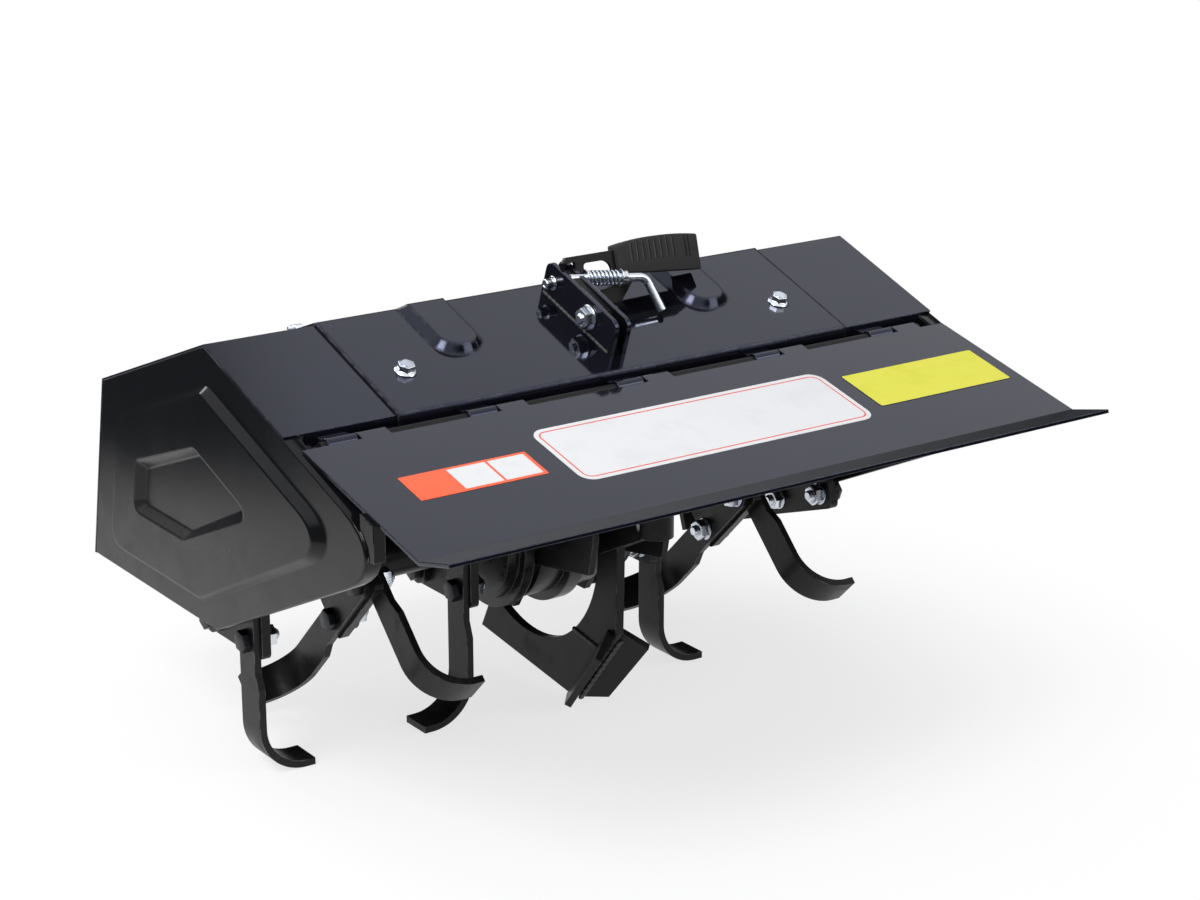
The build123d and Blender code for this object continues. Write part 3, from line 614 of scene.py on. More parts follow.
def make_piece(name, bm, materials, body, sharp=38.0):
    """The finished mesh as an object that wears the named materials and rides on a body."""
    mesh = bpy.data.meshes.new(name)
    bm.to_mesh(mesh)
    bm.free()
    for material in materials:
        mesh.materials.append(bpy.data.materials[material])
    mesh.shade_smooth()
    mesh.set_sharp_from_angle(angle=math.radians(sharp))
    piece = bpy.data.objects.new(name, mesh)
    bpy.context.scene.collection.objects.link(piece)
    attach(piece, body)
    return piece


# ---------------- settings
def colour_setting(name, about, default):
    return FloatVectorProperty(name=name, description=about, default=default, subtype="COLOR", size=3,
                               min=0, max=1)


def share_setting(name, about, default):
    return FloatProperty(name=name, description=about, default=default, subtype="FACTOR", min=0, max=1)


def length_setting(name, about, default, least=0.0):
    return FloatProperty(name=name, description=about, default=default, unit="LENGTH", min=least)


def angle_setting(name, about, degrees):
    return FloatProperty(name=name, description=about, default=math.radians(degrees), subtype="ANGLE")


class PaintSettings(PropertyGroup):
    gloss_colour: colour_setting("Gloss black", "Paint of the hood and the flap", (0.0028, 0.0028, 0.0046))
    gloss_sheen: colour_setting("Gloss sheen", "Cast of what the hood and the flap mirror", (0.64, 0.69, 1.0))
    gloss_roughness: share_setting("Gloss roughness", "Roughness of the hood and flap paint", 0.055)
    panel_colour: colour_setting("Panel black", "Paint of the end panels", (0.0040, 0.0042, 0.0048))
    panel_dusty: colour_setting("Panel low reflection", "The end panels' tone low down", (0.026, 0.0245, 0.0255))
    panel_roughness: share_setting("Panel roughness", "Roughness of the end panels", 0.24)
    tine_colour: colour_setting("Tine black", "Dip on the tines, plates and tubes", (0.0085, 0.0084, 0.0090))
    case_colour: colour_setting("Case black", "Enamel on the gear case", (0.0050, 0.0050, 0.0058))
    zinc_colour: colour_setting("Zinc", "Zinc plate of bolts, springs and pins", (0.78, 0.80, 0.83))


class HardwareSettings(PropertyGroup):
    hood_bolt_across: length_setting("Hood bolt", "Size of the hood bolts across flats", 0.0125, 0.006)
    tine_bolt_across: length_setting("Tine bolt", "Size of the tine bolts across flats", 0.0165, 0.008)
    tine_bolt_radius: length_setting("Tine bolt radius", "Radius of the tine bolts' threads", 0.0050, 0.003)
    bead_width: length_setting("Weld bead", "Width of the larger weld beads", 0.0055, 0.002)


class StickerSettings(PropertyGroup):
    thickness: length_setting("Thickness", "Thickness of the vinyl", 0.0003, 0.0001)
    orange: colour_setting("Orange", "Colour of the left sticker", (0.88, 0.115, 0.035))
    white: colour_setting("White", "Colour of the middle sticker and the left fields", (0.72, 0.72, 0.73))
    red: colour_setting("Red", "Colour of the middle sticker's line", (0.72, 0.065, 0.03))
    yellow: colour_setting("Yellow", "Colour of the right sticker", (0.70, 0.68, 0.03))


class GripSettings(PropertyGroup):
    slots: IntProperty(name="Slots", description="Wide slots moulded across the grip", default=8, min=2,
                       max=12)
    pitch: length_setting("Pitch", "Distance from slot to slot", 0.00615, 0.004)
    slot_depth: length_setting("Slot depth", "Depth of the grip's slots", 0.0017)
    bow: length_setting("Bow", "How far the grip's top is bowed", 0.0035)


class StudioSettings(PropertyGroup):
    floor_colour: colour_setting("Floor", "Colour of the studio floor", (0.93, 0.93, 0.94))
    lens: FloatProperty(name="Lens", description="Focal length on a 36 mm wide sensor, in millimetres",
                        default=79.05, min=20, max=200)
    camera_azimuth: angle_setting("Camera direction", "Angle from +Y towards +X that it looks along", 35.3)
    camera_drop: angle_setting("Camera drop", "Angle that it looks downwards", 17.69)
    sky: FloatProperty(name="Sky light", description="Strength of the even light all round", default=0.55,
                       min=0)
    key_power: FloatProperty(name="Key lamp", description="Power of the main lamp", default=55.0, min=0,
                             unit="POWER")


class RotavatorSettings(PropertyGroup):
    paint: PointerProperty(type=PaintSettings)
    hardware: PointerProperty(type=HardwareSettings)
    stickers: PointerProperty(type=StickerSettings)
    grip: PointerProperty(type=GripSettings)
    studio: PointerProperty(type=StudioSettings)


# ---------------- operators
# The record's material slots, and the material that each one's nodes wear.
NODE_FINISH = {"hood_paint": "gloss_black", "flap_paint": "gloss_black", "panel_paint": "panel_black",
               "case_paint": "case_enamel", "tine_paint": "tine_dip", "frame_paint": "frame_black",
               "zinc": "zinc_plate", "shaft_steel": "ground_shaft", "grip_rubber": "grip_rubber"}
# The middle sheet's pressed tongues have wide folds, so its edges are softened further.
SPECIAL_FINISH = {"hood_centre": "gloss_pressed"}


class ROTAVATOR_OT_materials(Operator):
    """Builds the shared effects and every finish"""
    bl_idname = "rotavator.materials"
    bl_label = "Build Materials"

    # How wide an edge of the gloss paint is softened, and how far each sticker's stains darken it.
    gloss_edges = {"gloss_black": 0.0012, "gloss_pressed": 0.0045}
    stains = {"orange": 0.82, "white": 0.86, "red": 0.85, "yellow": 0.86}

    def execute(self, context):
        paint = context.scene.rotavator.paint
        stickers = context.scene.rotavator.stickers
        for build in (build_edge_group, build_film_group, build_forged_group, build_scratch_group,
                      build_low_reflection_group):
            build()
        for name, edge in self.gloss_edges.items():
            gloss_paint(name, paint.gloss_colour, paint.gloss_sheen, paint.gloss_roughness, edge)
        satin_panel_paint("panel_black", paint.panel_colour, paint.panel_dusty, paint.panel_roughness)
        forged_paint("tine_dip", paint.tine_colour, roughness=0.32, wear=0.7, gleam=0.2)
        forged_paint("frame_black", paint.tine_colour, roughness=0.36, wear=0.4, gleam=0.17)
        cast_paint("case_enamel", paint.case_colour)
        plated_steel("zinc_plate", paint.zinc_colour, roughness=0.24)
        plated_steel("black_oxide", (0.05, 0.05, 0.055), roughness=0.4)
        ground_steel("ground_shaft", (0.5, 0.49, 0.47), roughness=0.28)
        moulded_rubber("grip_rubber", (0.004, 0.004, 0.0045), gleam=0.15)
        # The slots' floors wear this paler rubber as a painted highlight in the grooves.
        moulded_rubber("grip_groove", (0.16, 0.165, 0.18), gleam=0.3)
        weld_steel("painted_weld", (0.004, 0.004, 0.004), bright=(0.02, 0.018, 0.017))
        weld_steel("burnt_weld", (0.010, 0.008, 0.007), bright=(0.05, 0.033, 0.024))
        weld_steel("bright_weld", (0.02, 0.019, 0.018), bright=(0.55, 0.53, 0.5))
        for name, shade in self.stains.items():
            sticker_film("sticker_" + name, getattr(stickers, name), shade)
        sticker_film("sticker_black", (0.02, 0.02, 0.02), 0.8)
        return {"FINISHED"}


class ROTAVATOR_OT_paint_nodes(Operator):
    """Gives each solid of the model its finish"""
    bl_idname = "rotavator.paint_nodes"
    bl_label = "Paint the Model"

    def execute(self, context):
        for part in frame["record"]["subparts"]:
            finish = SPECIAL_FINISH.get(part["node"], NODE_FINISH[part["material_slot"]])
            for slot in frame["nodes"][part["node"]].material_slots:
                slot.material = bpy.data.materials[finish]
        return {"FINISHED"}


class ROTAVATOR_OT_end_panels(Operator):
    """Presses the two end panels: a raised field with a sunk middle, a turned-in rim and a stop tab"""
    bl_idname = "rotavator.end_panels"
    bl_label = "End Panels"

    # Each outline runs from the ridge over the rear corner, the two lower corners and the front one.
    # A corner is y and z in millimetres from the rotor's axis, and how far from it the rounding starts.
    rim = [(-19.0, 212.4, 0.5), (-302.6, 112.5, 78.0), (-19.0, -21.6, 2.0), (204.6, -21.6, 0.5),
           (169.3, 140.8, 0.5)]
    field_foot = [(-23.7, 184.2, 6.0), (-238.4, 108.6, 62.0), (-0.9, -3.6, 5.0), (165.0, -3.6, 22.0),
                  (137.3, 123.0, 14.0)]
    field_top = [(-22.4, 175.9, 3.0), (-216.1, 107.7, 46.0), (-4.8, 4.2, 3.0), (155.3, 4.2, 17.0),
                 (130.8, 116.6, 9.0)]
    dip_edge = [(-7.1, 130.1, 5.0), (-101.4, 96.9, 24.0), (18.7, 44.4, 3.0), (109.5, 44.4, 12.0),
                (99.2, 91.6, 4.0)]
    dip_floor = [(-5.6, 120.6, 1.5), (-75.7, 95.9, 6.0), (14.2, 53.4, 1.5), (98.3, 53.4, 4.0),
                 (91.7, 83.7, 1.5)]
    tab = [(-267.7, 108.1), (-249.7, 108.1), (-249.7, 141.0), (-267.7, 136.6)]
    press = 7.0
    rim_depth = 13.0
    rim_fold = 0.7
    # Where the rings lie on a slope, as shares of its width: flat rim, foot fold, top fold, flat rim.
    rings = (-0.06, 0.0, 0.07, 0.14, 0.2, 0.8, 0.86, 0.93, 1.0, 1.06)
    # How far a fold reaches into its slope, as a share of the slope's width.
    fold = 0.2

    def execute(self, context):
        for side, name in ((-1, "left"), (1, "right")):
            bm = bmesh.new()
            start = self.rounded(side, self.rim, -self.rim_depth)
            face = bm.faces.new([bm.verts.new(place) for place in start])
            for outline, height in self.levels():
                face = bmesh.ops.extrude_discrete_faces(bm, faces=[face])["faces"][0]
                for vert, place in zip(face.verts, self.rounded(side, outline, height)):
                    vert.co = place
            self.face_out(bm, face, side)
            bmesh.ops.solidify(bm, geom=bm.faces[:], thickness=SHEET)
            self.add_tab(bm, side)
            bmesh.ops.recalc_face_normals(bm, faces=bm.faces[:])
            piece = make_piece("end_panel_" + name, bm, ["panel_black"], "frame", sharp=50.0)
            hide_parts("side_panel_" + name)
        return {"FINISHED"}

    def levels(self):
        """The outlines in order from the rim's fold to the sunk middle, each with its height."""
        rows = [(self.rim, -self.rim_fold)]
        rows += [(self.drawn_in(self.rim, self.field_foot, part), 0.0) for part in (0.03, 0.06)]
        for low, high, start, end in ((self.field_foot, self.field_top, 0.0, self.press),
                                      (self.dip_edge, self.dip_floor, self.press, 0.0)):
            for part in self.rings:
                rows.append((self.drawn_in(low, high, part), start + (end - start) * self.rise(part)))
        return rows

    def rise(self, part):
        """How far up its slope a point is: straight in the middle and rounded at both folds."""
        part = min(max(part, 0.0), 1.0)
        if part > 0.5:
            return 1.0 - self.rise(1.0 - part)
        if part < self.fold:
            return part * part / (2 * self.fold * (1 - self.fold))
        return (part - self.fold / 2) / (1 - self.fold)

    def drawn_in(self, first, second, part):
        """An outline between two others, by a share of the way from the first to the second."""
        return [tuple(a + (b - a) * part for a, b in zip(one, two)) for one, two in zip(first, second)]

    def rounded(self, side, outline, height):
        """The points of an outline with its corners rounded, at a height out of the panel's plane."""
        bm = bmesh.new()
        x = side * (frame_half_width() + height * MM)
        verts = [bm.verts.new((x, AXIS.y + y * MM, AXIS.z + z * MM)) for y, z, _ in outline]
        bm.faces.new(verts)
        for vert, (_, _, reach) in zip(verts, outline):
            ease(bm, [vert], reach * MM, 8, "VERTICES")
        bm.faces.ensure_lookup_table()
        places = [vert.co.copy() for vert in bm.faces[0].verts]
        bm.free()
        return places

    def face_out(self, bm, face, side):
        """Makes the open shell's faces agree and point out of the machine."""
        bmesh.ops.recalc_face_normals(bm, faces=bm.faces[:])
        bm.normal_update()
        if face.normal.x * side < 0:
            bmesh.ops.reverse_faces(bm, faces=bm.faces[:])
        bm.normal_update()

    def add_tab(self, bm, side):
        """The stop that the closed flap rests on."""
        inner = side * (frame_half_width() - (self.rim_depth - 1.0) * MM)
        outer = side * (frame_half_width() - SHEET)
        face = bm.faces.new([bm.verts.new((inner, AXIS.y + y * MM, AXIS.z + z * MM)) for y, z in self.tab])
        grown = bmesh.ops.extrude_face_region(bm, geom=[face])
        verts = [item for item in grown["geom"] if isinstance(item, bmesh.types.BMVert)]
        bmesh.ops.translate(bm, vec=(outer - inner, 0, 0), verts=verts)


class ROTAVATOR_OT_hood_bolts(Operator):
    """Fits the zinc flange bolts that hold the middle of the hood on its end sections"""
    bl_idname = "rotavator.hood_bolts"
    bl_label = "Hood Bolts"

    rear_x = 186.0 * MM
    rear_y = -97.0 * MM
    front_x = 190.0 * MM
    front_y = 70.0 * MM

    def execute(self, context):
        across = context.scene.rotavator.hardware.hood_bolt_across
        bm = bmesh.new()
        for side in (-1, 1):
            turn = 0.35 * side
            rear = on_rear_slope(side * self.rear_x, self.rear_y)
            front = on_front_slope(side * self.front_x, self.front_y)
            flange_bolt(bm, facing(rear, REAR_NORMAL, turn), across)
            flange_bolt(bm, facing(front, FRONT_NORMAL, turn), across)
        make_piece("hood_bolts", bm, ["zinc_plate"], "frame")
        return {"FINISHED"}


class ROTAVATOR_OT_tine_bolts(Operator):
    """Fits a bolt and a nut in each hole of the flange plates"""
    bl_idname = "rotavator.tine_bolts"
    bl_label = "Tine Bolts"

    washer_thickness = 1.5 * MM

    def execute(self, context):
        heads = bmesh.new()
        nuts = bmesh.new()
        for plate in PLATES:
            self.fit_plate(plate, heads, nuts, context.scene.rotavator.hardware)
        make_piece("tine_bolt_heads", heads, ["black_oxide"], "rotor")
        make_piece("tine_nuts", nuts, ["zinc_plate"], "rotor")
        return {"FINISHED"}

    def fit_plate(self, plate, heads, nuts, hardware):
        """The bolts' heads face left on the left half and right on the right half."""
        side, x, turn, both = plate
        across = hardware.tine_bolt_across
        radius = hardware.tine_bolt_radius
        outer = PLATE_HALF_THICKNESS + TINE_THICKNESS
        inner = PLATE_HALF_THICKNESS + (TINE_THICKNESS if both else 0.0)
        reach = BOLT_OFFSET * math.sqrt(2)
        for number in range(4):
            angle = math.radians(turn + 45.0 + 90.0 * number)
            place = (reach * math.cos(angle), reach * math.sin(angle))
            head = facing(from_axis(side * (x + outer), *place), (side, 0, 0), number * 0.7)
            nut = facing(from_axis(side * (x - inner), *place), (-side, 0, 0), number * 0.5 + 0.2)
            hexagon(heads, head, across, 0.0, across * 0.4)
            washer(nuts, nut, across * 0.62, self.washer_thickness)
            hexagon(nuts, nut, across, self.washer_thickness, across * 0.5, bore=radius)
            thread_end(nuts, nut, radius, self.washer_thickness + across * 0.42, across * 0.28)


class ROTAVATOR_OT_latch_bolts(Operator):
    """Fits the heads, nuts and washers of the latch's cross pins"""
    bl_idname = "rotavator.latch_bolts"
    bl_label = "Latch Bolts"

    # A washer is its radius and thickness.  A head is its size across the flats, where it starts
    # and its height.
    stub_washer = (0.0062, 0.0012)
    small_washer = (0.0072, 0.0012)
    large_washer = (0.0105, 0.0016)
    spring_washer = (0.0074, 0.0012)
    small_head = (0.0110, 0.0012, 0.0050)
    large_head = (0.0155, 0.0016, 0.0070)
    # The upper pin's plain end and the spring's collar, as (radius, height) points.
    stub = [(0, 0.0010), (0.0044, 0.0010), (0.0044, 0.0078), (0.0038, 0.0085), (0.0024, 0.0085),
            (0.0020, 0.0079), (0, 0.0079)]
    collar = [(0.0034, 0.0012), (0.0054, 0.0012), (0.0060, 0.0020), (0.0060, 0.0058), (0.0052, 0.0068),
              (0.0034, 0.0068)]

    def execute(self, context):
        bm = bmesh.new()
        left = (-1, 0, 0)
        right = (1, 0, 0)
        upper = from_axis(EAR_LEFT, *UPPER_PIN)
        lower = from_axis(EAR_LEFT, *LOWER_PIN)
        washer(bm, facing(upper, left), *self.stub_washer)
        turned(bm, facing(upper, left), self.stub, 28)
        washer(bm, facing(lower, left), *self.large_washer)
        hexagon(bm, facing(lower, left, 0.1), *self.large_head, bore=0.0050)
        thread_end(bm, facing(lower, left), radius=0.0046, base=0.0070, length=0.0030)
        upper = from_axis(EAR_RIGHT, *UPPER_PIN)
        lower = from_axis(EAR_RIGHT, *LOWER_PIN)
        washer(bm, facing(upper, right), *self.small_washer)
        hexagon(bm, facing(upper, right, 0.5), *self.small_head)
        washer(bm, facing(lower, right), *self.large_washer)
        hexagon(bm, facing(lower, right, 0.7), *self.large_head)
        root = from_axis(*ROD_ROOT)
        rod = (from_axis(*ROD_ELBOW) - root).normalized()
        washer(bm, facing(root + rod * SPRING_START, -rod), *self.spring_washer)
        washer(bm, facing(root + rod * SPRING_END, rod), *self.spring_washer)
        turned(bm, facing(root + rod * SPRING_END, rod), self.collar, 28)
        make_piece("latch_bolts", bm, ["zinc_plate"], "frame")
        return {"FINISHED"}


class ROTAVATOR_OT_grip(Operator):
    """Moulds the ribbed rubber sleeve on the lever's tang"""
    bl_idname = "rotavator.grip"
    bl_label = "Grip"

    first_slot = 13.2 * MM
    slot_width = 2.6 * MM
    slot_slope = 0.35 * MM
    line_places = (69.6 * MM, 73.2 * MM)
    line_width = 1.3 * MM
    rounding = 1.6 * MM
    # Where the sleeve is cut for its shape, as shares of its length and of its height.
    plain_cuts = (0.05, 0.11, 0.76, 0.95)
    slot_floor = 0.36
    upper_cut = 0.68
    hole_place = (79.0 * MM, 0.62)
    hole_ring = [(0, -0.0001), (0.0010, -0.0001), (0.0013, 0.0003), (0.0018, 0.0003), (0.0021, -0.0001)]

    def execute(self, context):
        grip = context.scene.rotavator.grip
        long = GRIP_RIGHT - GRIP_LEFT
        bm = bmesh.new()
        shape = Matrix.Translation((long / 2, 0.5, 0)) @ Matrix.Diagonal((long, 1.0, GRIP_THICKNESS, 1.0))
        bmesh.ops.create_cube(bm, size=1.0, matrix=shape)
        spans = [(self.first_slot + grip.pitch * number, self.slot_width) for number in range(grip.slots)]
        spans += [(place, self.line_width) for place in self.line_places]
        cuts = [edge for start, width in spans for edge in (start, start + width)]
        for place in cuts + [long * part for part in self.plain_cuts]:
            self.cut(bm, (place, 0, 0), (1, 0, 0))
        for level in (self.slot_floor, self.upper_cut):
            self.cut(bm, (0, level, 0), (0, 1, 0))
        self.shape_outline(bm, long, grip.bow)
        self.round_ends(bm)
        for start, width in spans:
            self.sink(bm, start, start + width, grip.slot_depth)
        before = set(bm.verts)
        self.pin_hole(bm)
        sleeve = [face for face in bm.faces if all(vert in before for vert in face.verts)]
        bmesh.ops.recalc_face_normals(bm, faces=sleeve)
        bmesh.ops.transform(bm, matrix=self.lean(), verts=bm.verts)
        rubbers = ["grip_rubber", "grip_groove"]
        piece = make_piece("grip_sleeve", bm, rubbers, "frame", sharp=32.0)
        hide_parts("lever_grip")
        return {"FINISHED"}

    def lean(self):
        """The grip's own axes: x along it, y up the tang's plane and z out of it towards the rear."""
        up = Vector((0, math.sin(GRIP_LEAN), math.cos(GRIP_LEAN)))
        out = Vector((0, -math.cos(GRIP_LEAN), math.sin(GRIP_LEAN)))
        basis = Matrix((Vector((1, 0, 0)), up, out)).transposed().to_4x4()
        x, y, z = GRIP_ORIGIN
        return Matrix.Translation(from_axis(GRIP_LEFT + x, y, z)) @ basis

    def cut(self, bm, place, normal):
        geometry = bm.verts[:] + bm.edges[:] + bm.faces[:]
        bmesh.ops.bisect_plane(bm, geom=geometry, plane_co=place, plane_no=normal, dist=TINY)

    def between(self, row, part):
        """The sleeve's lower or upper edge, by a share of the way from its left end to its right."""
        return GRIP_LEFT_SPAN[row] + (GRIP_RIGHT_SPAN[row] - GRIP_LEFT_SPAN[row]) * part

    def shape_outline(self, bm, long, bow):
        """Bows the top, deepens the sleeve to the right and draws its long edges in."""
        for vert in bm.verts:
            part = vert.co.x / long
            low = self.between(0, part)
            high = self.between(1, part) + bow * (1 - (2 * part - 1) ** 2)
            vert.co.y = low + (high - low) * vert.co.y

    def round_ends(self, bm):
        """Rounds the long edges and the rims of both ends."""
        bm.normal_update()
        rims = [edge for edge in bm.edges if len(edge.link_faces) == 2 and edge.calc_face_angle(0.0) > 1.0]
        ease(bm, rims, self.rounding, 3, clamp=True)

    def sink(self, bm, start, end, depth):
        """Sinks one slot: over the top and down both faces, and not down to the lower edge."""
        chosen = []
        for face in bm.faces:
            middle = face.calc_center_median()
            low = self.between(0, middle.x / (GRIP_RIGHT - GRIP_LEFT))
            above = middle.y > low + (GRIP_LEFT_SPAN[1] - low) * self.slot_floor
            if above and start + CLOSE < middle.x < end - CLOSE:
                chosen.append(face)
        bmesh.ops.inset_region(bm, faces=chosen, thickness=self.slot_slope, depth=-depth,
                               use_even_offset=True)
        # The slots' floors take the paler rubber: a painted highlight in the grooves.
        for face in chosen:
            face.material_index = 1

    def pin_hole(self, bm):
        """The small moulded ring near the right end, on the rear face."""
        x, part = self.hole_place
        low, high = GRIP_RIGHT_SPAN
        place = Matrix.Translation((x, low + (high - low) * part, GRIP_THICKNESS / 2))
        turned(bm, place, self.hole_ring, 20)


class ROTAVATOR_OT_stickers(Operator):
    """Lays the three blank stickers on the flap"""
    bl_idname = "rotavator.stickers"
    bl_label = "Stickers"

    # One row per sticker, in millimetres: its name, its left and right ends, how far it starts and
    # ends down the flap from the hinge, and the rounding of its corners.
    rows = [("sticker_left", -270.0, -159.0, 69.5, 104.0, 1.0),
            ("sticker_middle", -140.0, 144.0, 45.0, 125.0, 12.0),
            ("sticker_right", 160.0, 303.0, 58.0, 112.0, 2.5)]
    # The left sticker's white fields: where each starts and ends along it, and the margin above and
    # below them, as shares of its length and height.
    fields = [(0.36, 0.66), (0.68, 0.97)]
    margin = 0.08
    field_lift = 0.00008

    def execute(self, context):
        self.film = context.scene.rotavator.stickers.thickness
        left, middle, right = self.rows
        self.lay(left, [("sticker_orange", None)], self.fields)
        self.lay(middle, [("sticker_white", 0.004), ("sticker_red", 0.0013), ("sticker_white", None)])
        self.lay(right, [("sticker_black", 0.0006), ("sticker_yellow", None)])
        return {"FINISHED"}

    def on_flap(self, x, down, lift):
        """A point on the closed flap's top face, by its distance down from the hinge."""
        return Vector((x, HINGE.y, HINGE.z)) + FLAP_NORMAL * (FLAP_TOP + lift) + FLAP_BACK * down

    def patch(self, bm, left, right, top, bottom, lift):
        """A rectangle over the flap, facing away from it."""
        corners = ((left, top), (left, bottom), (right, bottom), (right, top))
        face = bm.faces.new([bm.verts.new(self.on_flap(x, down, lift)) for x, down in corners])
        face.normal_update()
        if face.normal.z < 0:
            face.normal_flip()
        return face

    def lay(self, row, bands, fields=()):
        """Bands run from the rim inwards, each with its width; the last one fills the middle."""
        title, *sizes = row
        left, right, top, bottom, corner = (size * MM for size in sizes)
        bm = bmesh.new()
        ease(bm, list(self.patch(bm, left, right, top, bottom, 0.0).verts), corner, 8, "VERTICES")
        bm.faces.ensure_lookup_table()
        thick = bmesh.ops.extrude_face_region(bm, geom=[bm.faces[0]])["geom"]
        raised = [item for item in thick if isinstance(item, bmesh.types.BMVert)]
        bmesh.ops.translate(bm, vec=FLAP_NORMAL * self.film, verts=raised)
        face = next(item for item in thick if isinstance(item, bmesh.types.BMFace))
        names = []
        for name, width in bands:
            if name not in names:
                names.append(name)
            printed = [face]
            if width is not None:
                printed = bmesh.ops.inset_region(bm, faces=[face], thickness=width, depth=0.0)["faces"]
            for part in printed:
                part.material_index = names.index(name)
        bmesh.ops.recalc_face_normals(bm, faces=bm.faces[:])
        edge = (bottom - top) * self.margin
        for start, end in fields:
            first = left + (right - left) * start
            last = left + (right - left) * end
            field = self.patch(bm, first, last, top + edge, bottom - edge, self.film + self.field_lift)
            field.material_index = len(names)
        if fields:
            names.append("sticker_white")
        make_piece(title, bm, names, "flap")


class ROTAVATOR_OT_welds(Operator):
    """Lays the weld beads of the latch, the shank, the share and the socket"""
    bl_idname = "rotavator.welds"
    bl_label = "Welds"

    # Where the beads run, as y and z from the rotor's axis, and the x of each face they lie on with
    # the side that it looks to.
    runner_faces = ((-6.0 * MM, -1), (2.0 * MM, 1))
    runner_ends = ((-0.0665, -0.0765), (-0.1085, -0.0837))
    spine_x = -2.0 * MM
    spine_ends = ((-0.1275, -0.0700), (-0.0705, -0.1395))
    socket_faces = ((-12.0 * MM, -1), (8.0 * MM, 1))
    socket_ends = ((-0.1680, 0.0440), (-0.1680, 0.1340))
    foot_margin = 0.004

    def execute(self, context):
        # A run is its two ends, the way it faces, its share of the width, and its waver's seed.
        front = EAR_FRONT_Y - self.foot_margin
        rear = EAR_REAR_Y + self.foot_margin
        feet = [(on_rear_slope(x, front), on_rear_slope(x, rear), REAR_NORMAL + Vector((side, 0, 0)), 0.7,
                 side) for x, side in ((EAR_LEFT, -1), (EAR_RIGHT, 1))]
        runner = [(*self.ends(x, self.runner_ends), Vector((side, 0, 0)), 0.8, 2 + side)
                  for x, side in self.runner_faces]
        spine = [(*self.ends(self.spine_x, self.spine_ends), Vector((0, -0.8, -0.6)), 1.0, 5)]
        cheeks = [(*self.ends(x, self.socket_ends), Vector((side, -0.6, 0)), 0.9, 7 + side)
                  for x, side in self.socket_faces]
        width = context.scene.rotavator.hardware.bead_width
        for name, finish, runs in (("weld_beads", "painted_weld", feet + runner),
                                   ("share_weld", "burnt_weld", spine),
                                   ("socket_welds", "bright_weld", cheeks)):
            bm = bmesh.new()
            for start, end, outwards, part, seed in runs:
                bead(bm, start, end, outwards, width * part, seed)
            make_piece(name, bm, [finish], "frame", sharp=80.0)
        return {"FINISHED"}

    def ends(self, x, places):
        return [from_axis(x, y, z) for y, z in places]


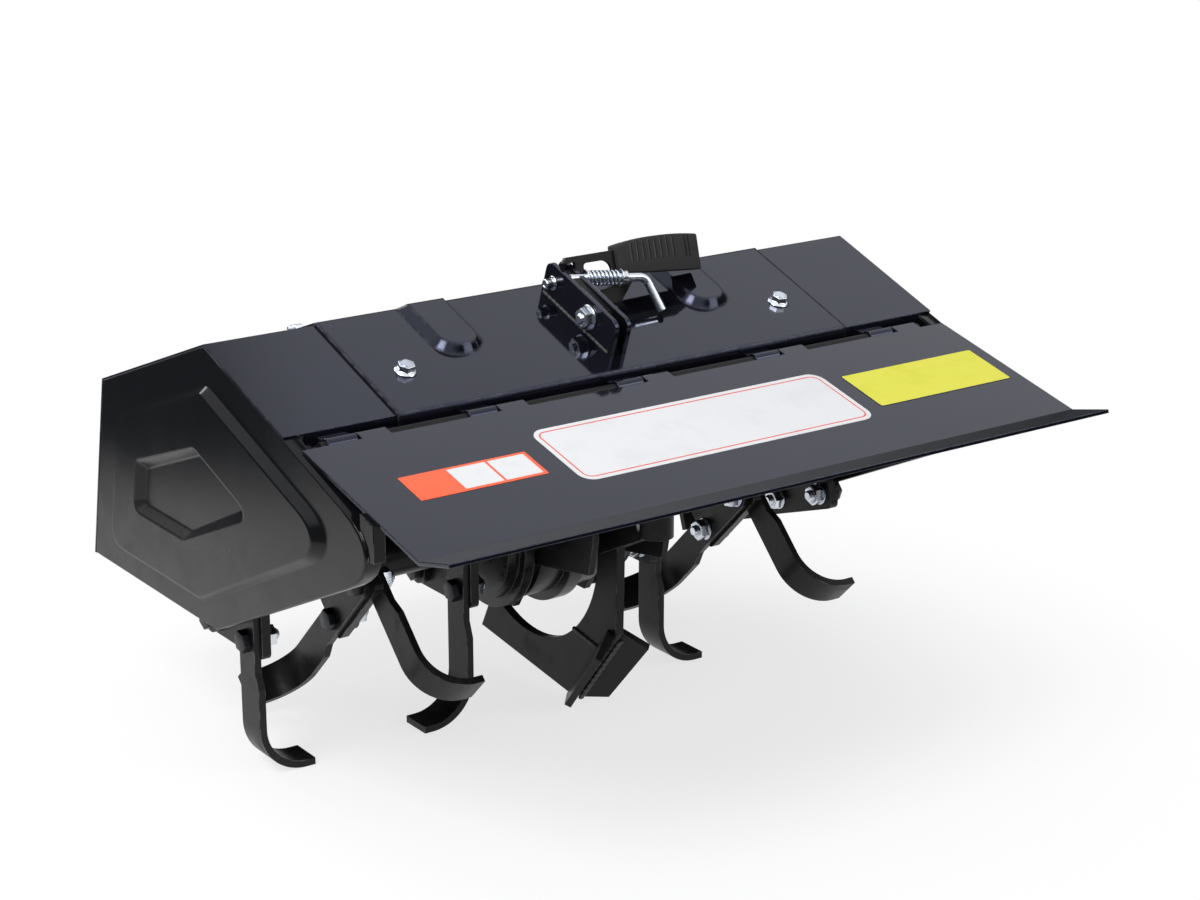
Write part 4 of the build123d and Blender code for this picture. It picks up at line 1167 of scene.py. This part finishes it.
class ROTAVATOR_OT_stage(Operator):
    """Sets the camera, the floor, the sky and the lamps"""
    bl_idname = "rotavator.stage"
    bl_label = "Studio"

    camera_from_axis = Vector((-1.2013, -1.7926, 0.7533))
    floor_gap = 0.2 * MM
    # How bright the floor is near the machine, how far out it fades to white, and where the mirrored
    # table ends.
    floor_glow = 0.72
    clearing = (0.22, 0.62)
    table_end = (0.80, 1.12)
    # The sky as it lights the machine, and its two tones as it is mirrored: pale above a level, with
    # a dark gap in front.  Each pair is where a fade starts and ends, as parts of a unit direction.
    sky_tone = (0.94, 0.96, 1.0)
    tent_dark = (0.04, 0.043, 0.05)
    tent_pale = (0.97, 0.98, 1.0)
    tent_edge = (0.34, 0.50)
    gap_left = (0.12, 0.28)
    gap_right = (0.47, 0.38)
    gap_front = (0.1, 0.3)
    aimed_at = Vector((0, 0, 0.15))
    # One row per lamp: its name, its place, its size and its power as a share of the main lamp's.
    lamps = [("key_lamp", (-1.9, -0.5, 2.3), 1.2, 1.0), ("fill_lamp", (1.6, -2.2, 1.5), 1.4, 0.35),
             ("rim_lamp", (-0.6, 2.4, 1.7), 1.0, 0.4)]

    def execute(self, context):
        studio = context.scene.rotavator.studio
        self.set_camera(context.scene, studio)
        self.lay_floor(context.scene, studio)
        self.set_sky(context.scene, studio)
        self.hang_lamps(context.scene, studio)
        context.scene.view_settings.view_transform = "Standard"
        return {"FINISHED"}

    def set_camera(self, scene, studio):
        data = bpy.data.cameras.new("camera")
        data.lens = studio.lens
        data.sensor_width = 36.0
        data.clip_end = 60.0
        camera = bpy.data.objects.new("camera", data)
        camera.location = AXIS + self.camera_from_axis
        camera.rotation_euler = (math.radians(90) - studio.camera_drop, 0, -studio.camera_azimuth)
        scene.collection.objects.link(camera)
        scene.camera = camera

    def lay_floor(self, scene, studio):
        bm = bmesh.new()
        bmesh.ops.create_grid(bm, x_segments=2, y_segments=2, size=20.0)
        mesh = bpy.data.meshes.new("floor")
        bm.to_mesh(mesh)
        bm.free()
        floor_finish("studio_floor", studio.floor_colour, self.floor_glow, self.clearing, self.table_end)
        mesh.materials.append(bpy.data.materials["studio_floor"])
        floor = bpy.data.objects.new("floor", mesh)
        floor.location = (0, 0, CAD_LOW[2] - self.floor_gap)
        scene.collection.objects.link(floor)

    def set_sky(self, scene, studio):
        """Even light from all round; what is seen is white, and what is mirrored dims to one side."""
        world = bpy.data.worlds.new("studio_sky")
        world.use_nodes = True
        tree = world.node_tree
        tree.nodes.clear()
        camera, mirrored = light_paths(tree)
        towards = separate(tree, add(tree, "ShaderNodeTexCoord").outputs["Generated"])
        over = ramp(tree, towards["Z"], *self.tent_edge, True)
        left = ramp(tree, towards["X"], *self.gap_left, True)
        beside = times(tree, left, ramp(tree, towards["X"], *self.gap_right, True))
        gap = times(tree, beside, ramp(tree, towards["Y"], *self.gap_front, True))
        lit = times(tree, over, math_node(tree, "SUBTRACT", 1.0, gap))
        tent = mix_colour(tree, lit, self.tent_dark, self.tent_pale)
        soft, mirror, white = (
            add(tree, "ShaderNodeBackground", {"Color": tone, "Strength": strength}).outputs[0]
            for tone, strength in ((self.sky_tone, studio.sky), (tent, 1.0), (PURE_WHITE, 1.0)))
        dim = add(tree, "ShaderNodeMixShader", {0: mirrored, 1: soft, 2: mirror})
        mixed = add(tree, "ShaderNodeMixShader", {0: camera, 1: dim.outputs[0], 2: white})
        add(tree, "ShaderNodeOutputWorld", {"Surface": mixed.outputs[0]})
        scene.world = world

    def hang_lamps(self, scene, studio):
        """A large soft lamp high on the left, a weaker one on the right behind and one in front."""
        for name, place, size, part in self.lamps:
            data = bpy.data.lights.new(name, "AREA")
            data.shape = "SQUARE"
            data.size = size
            data.energy = studio.key_power * part
            lamp = bpy.data.objects.new(name, data)
            lamp.location = place
            lamp.rotation_euler = (self.aimed_at - Vector(place)).to_track_quat("-Z", "Y").to_euler()
            scene.collection.objects.link(lamp)


class ROTAVATOR_PT_panel(Panel):
    """Lists the rotavator's settings and the steps that dress it"""
    bl_idname = "ROTAVATOR_PT_panel"
    bl_label = "Rotavator"
    bl_space_type = "VIEW_3D"
    bl_region_type = "UI"
    bl_category = "Rotavator"

    def draw(self, context):
        settings = context.scene.rotavator
        for title in settings.__annotations__:
            group = getattr(settings, title)
            box = self.layout.box()
            box.label(text=title.capitalize())
            for name in group.__annotations__:
                box.prop(group, name)
        for step in STEPS:
            self.layout.operator(step.bl_idname)


STEPS = [ROTAVATOR_OT_materials, ROTAVATOR_OT_paint_nodes, ROTAVATOR_OT_end_panels, ROTAVATOR_OT_hood_bolts,
         ROTAVATOR_OT_tine_bolts, ROTAVATOR_OT_latch_bolts, ROTAVATOR_OT_grip, ROTAVATOR_OT_stickers,
         ROTAVATOR_OT_welds, ROTAVATOR_OT_stage]
CLASSES = [PaintSettings, HardwareSettings, StickerSettings, GripSettings, StudioSettings, RotavatorSettings,
           *STEPS, ROTAVATOR_PT_panel]


def register():
    for one in CLASSES:
        bpy.utils.register_class(one)
    bpy.types.Scene.rotavator = PointerProperty(type=RotavatorSettings)


def unregister():
    del bpy.types.Scene.rotavator
    for one in reversed(CLASSES):
        bpy.utils.unregister_class(one)


def main():
    register()
    for step in STEPS:
        family, name = step.bl_idname.split(".")
        getattr(getattr(bpy.ops, family), name)()


if __name__ == "__main__":
    main()
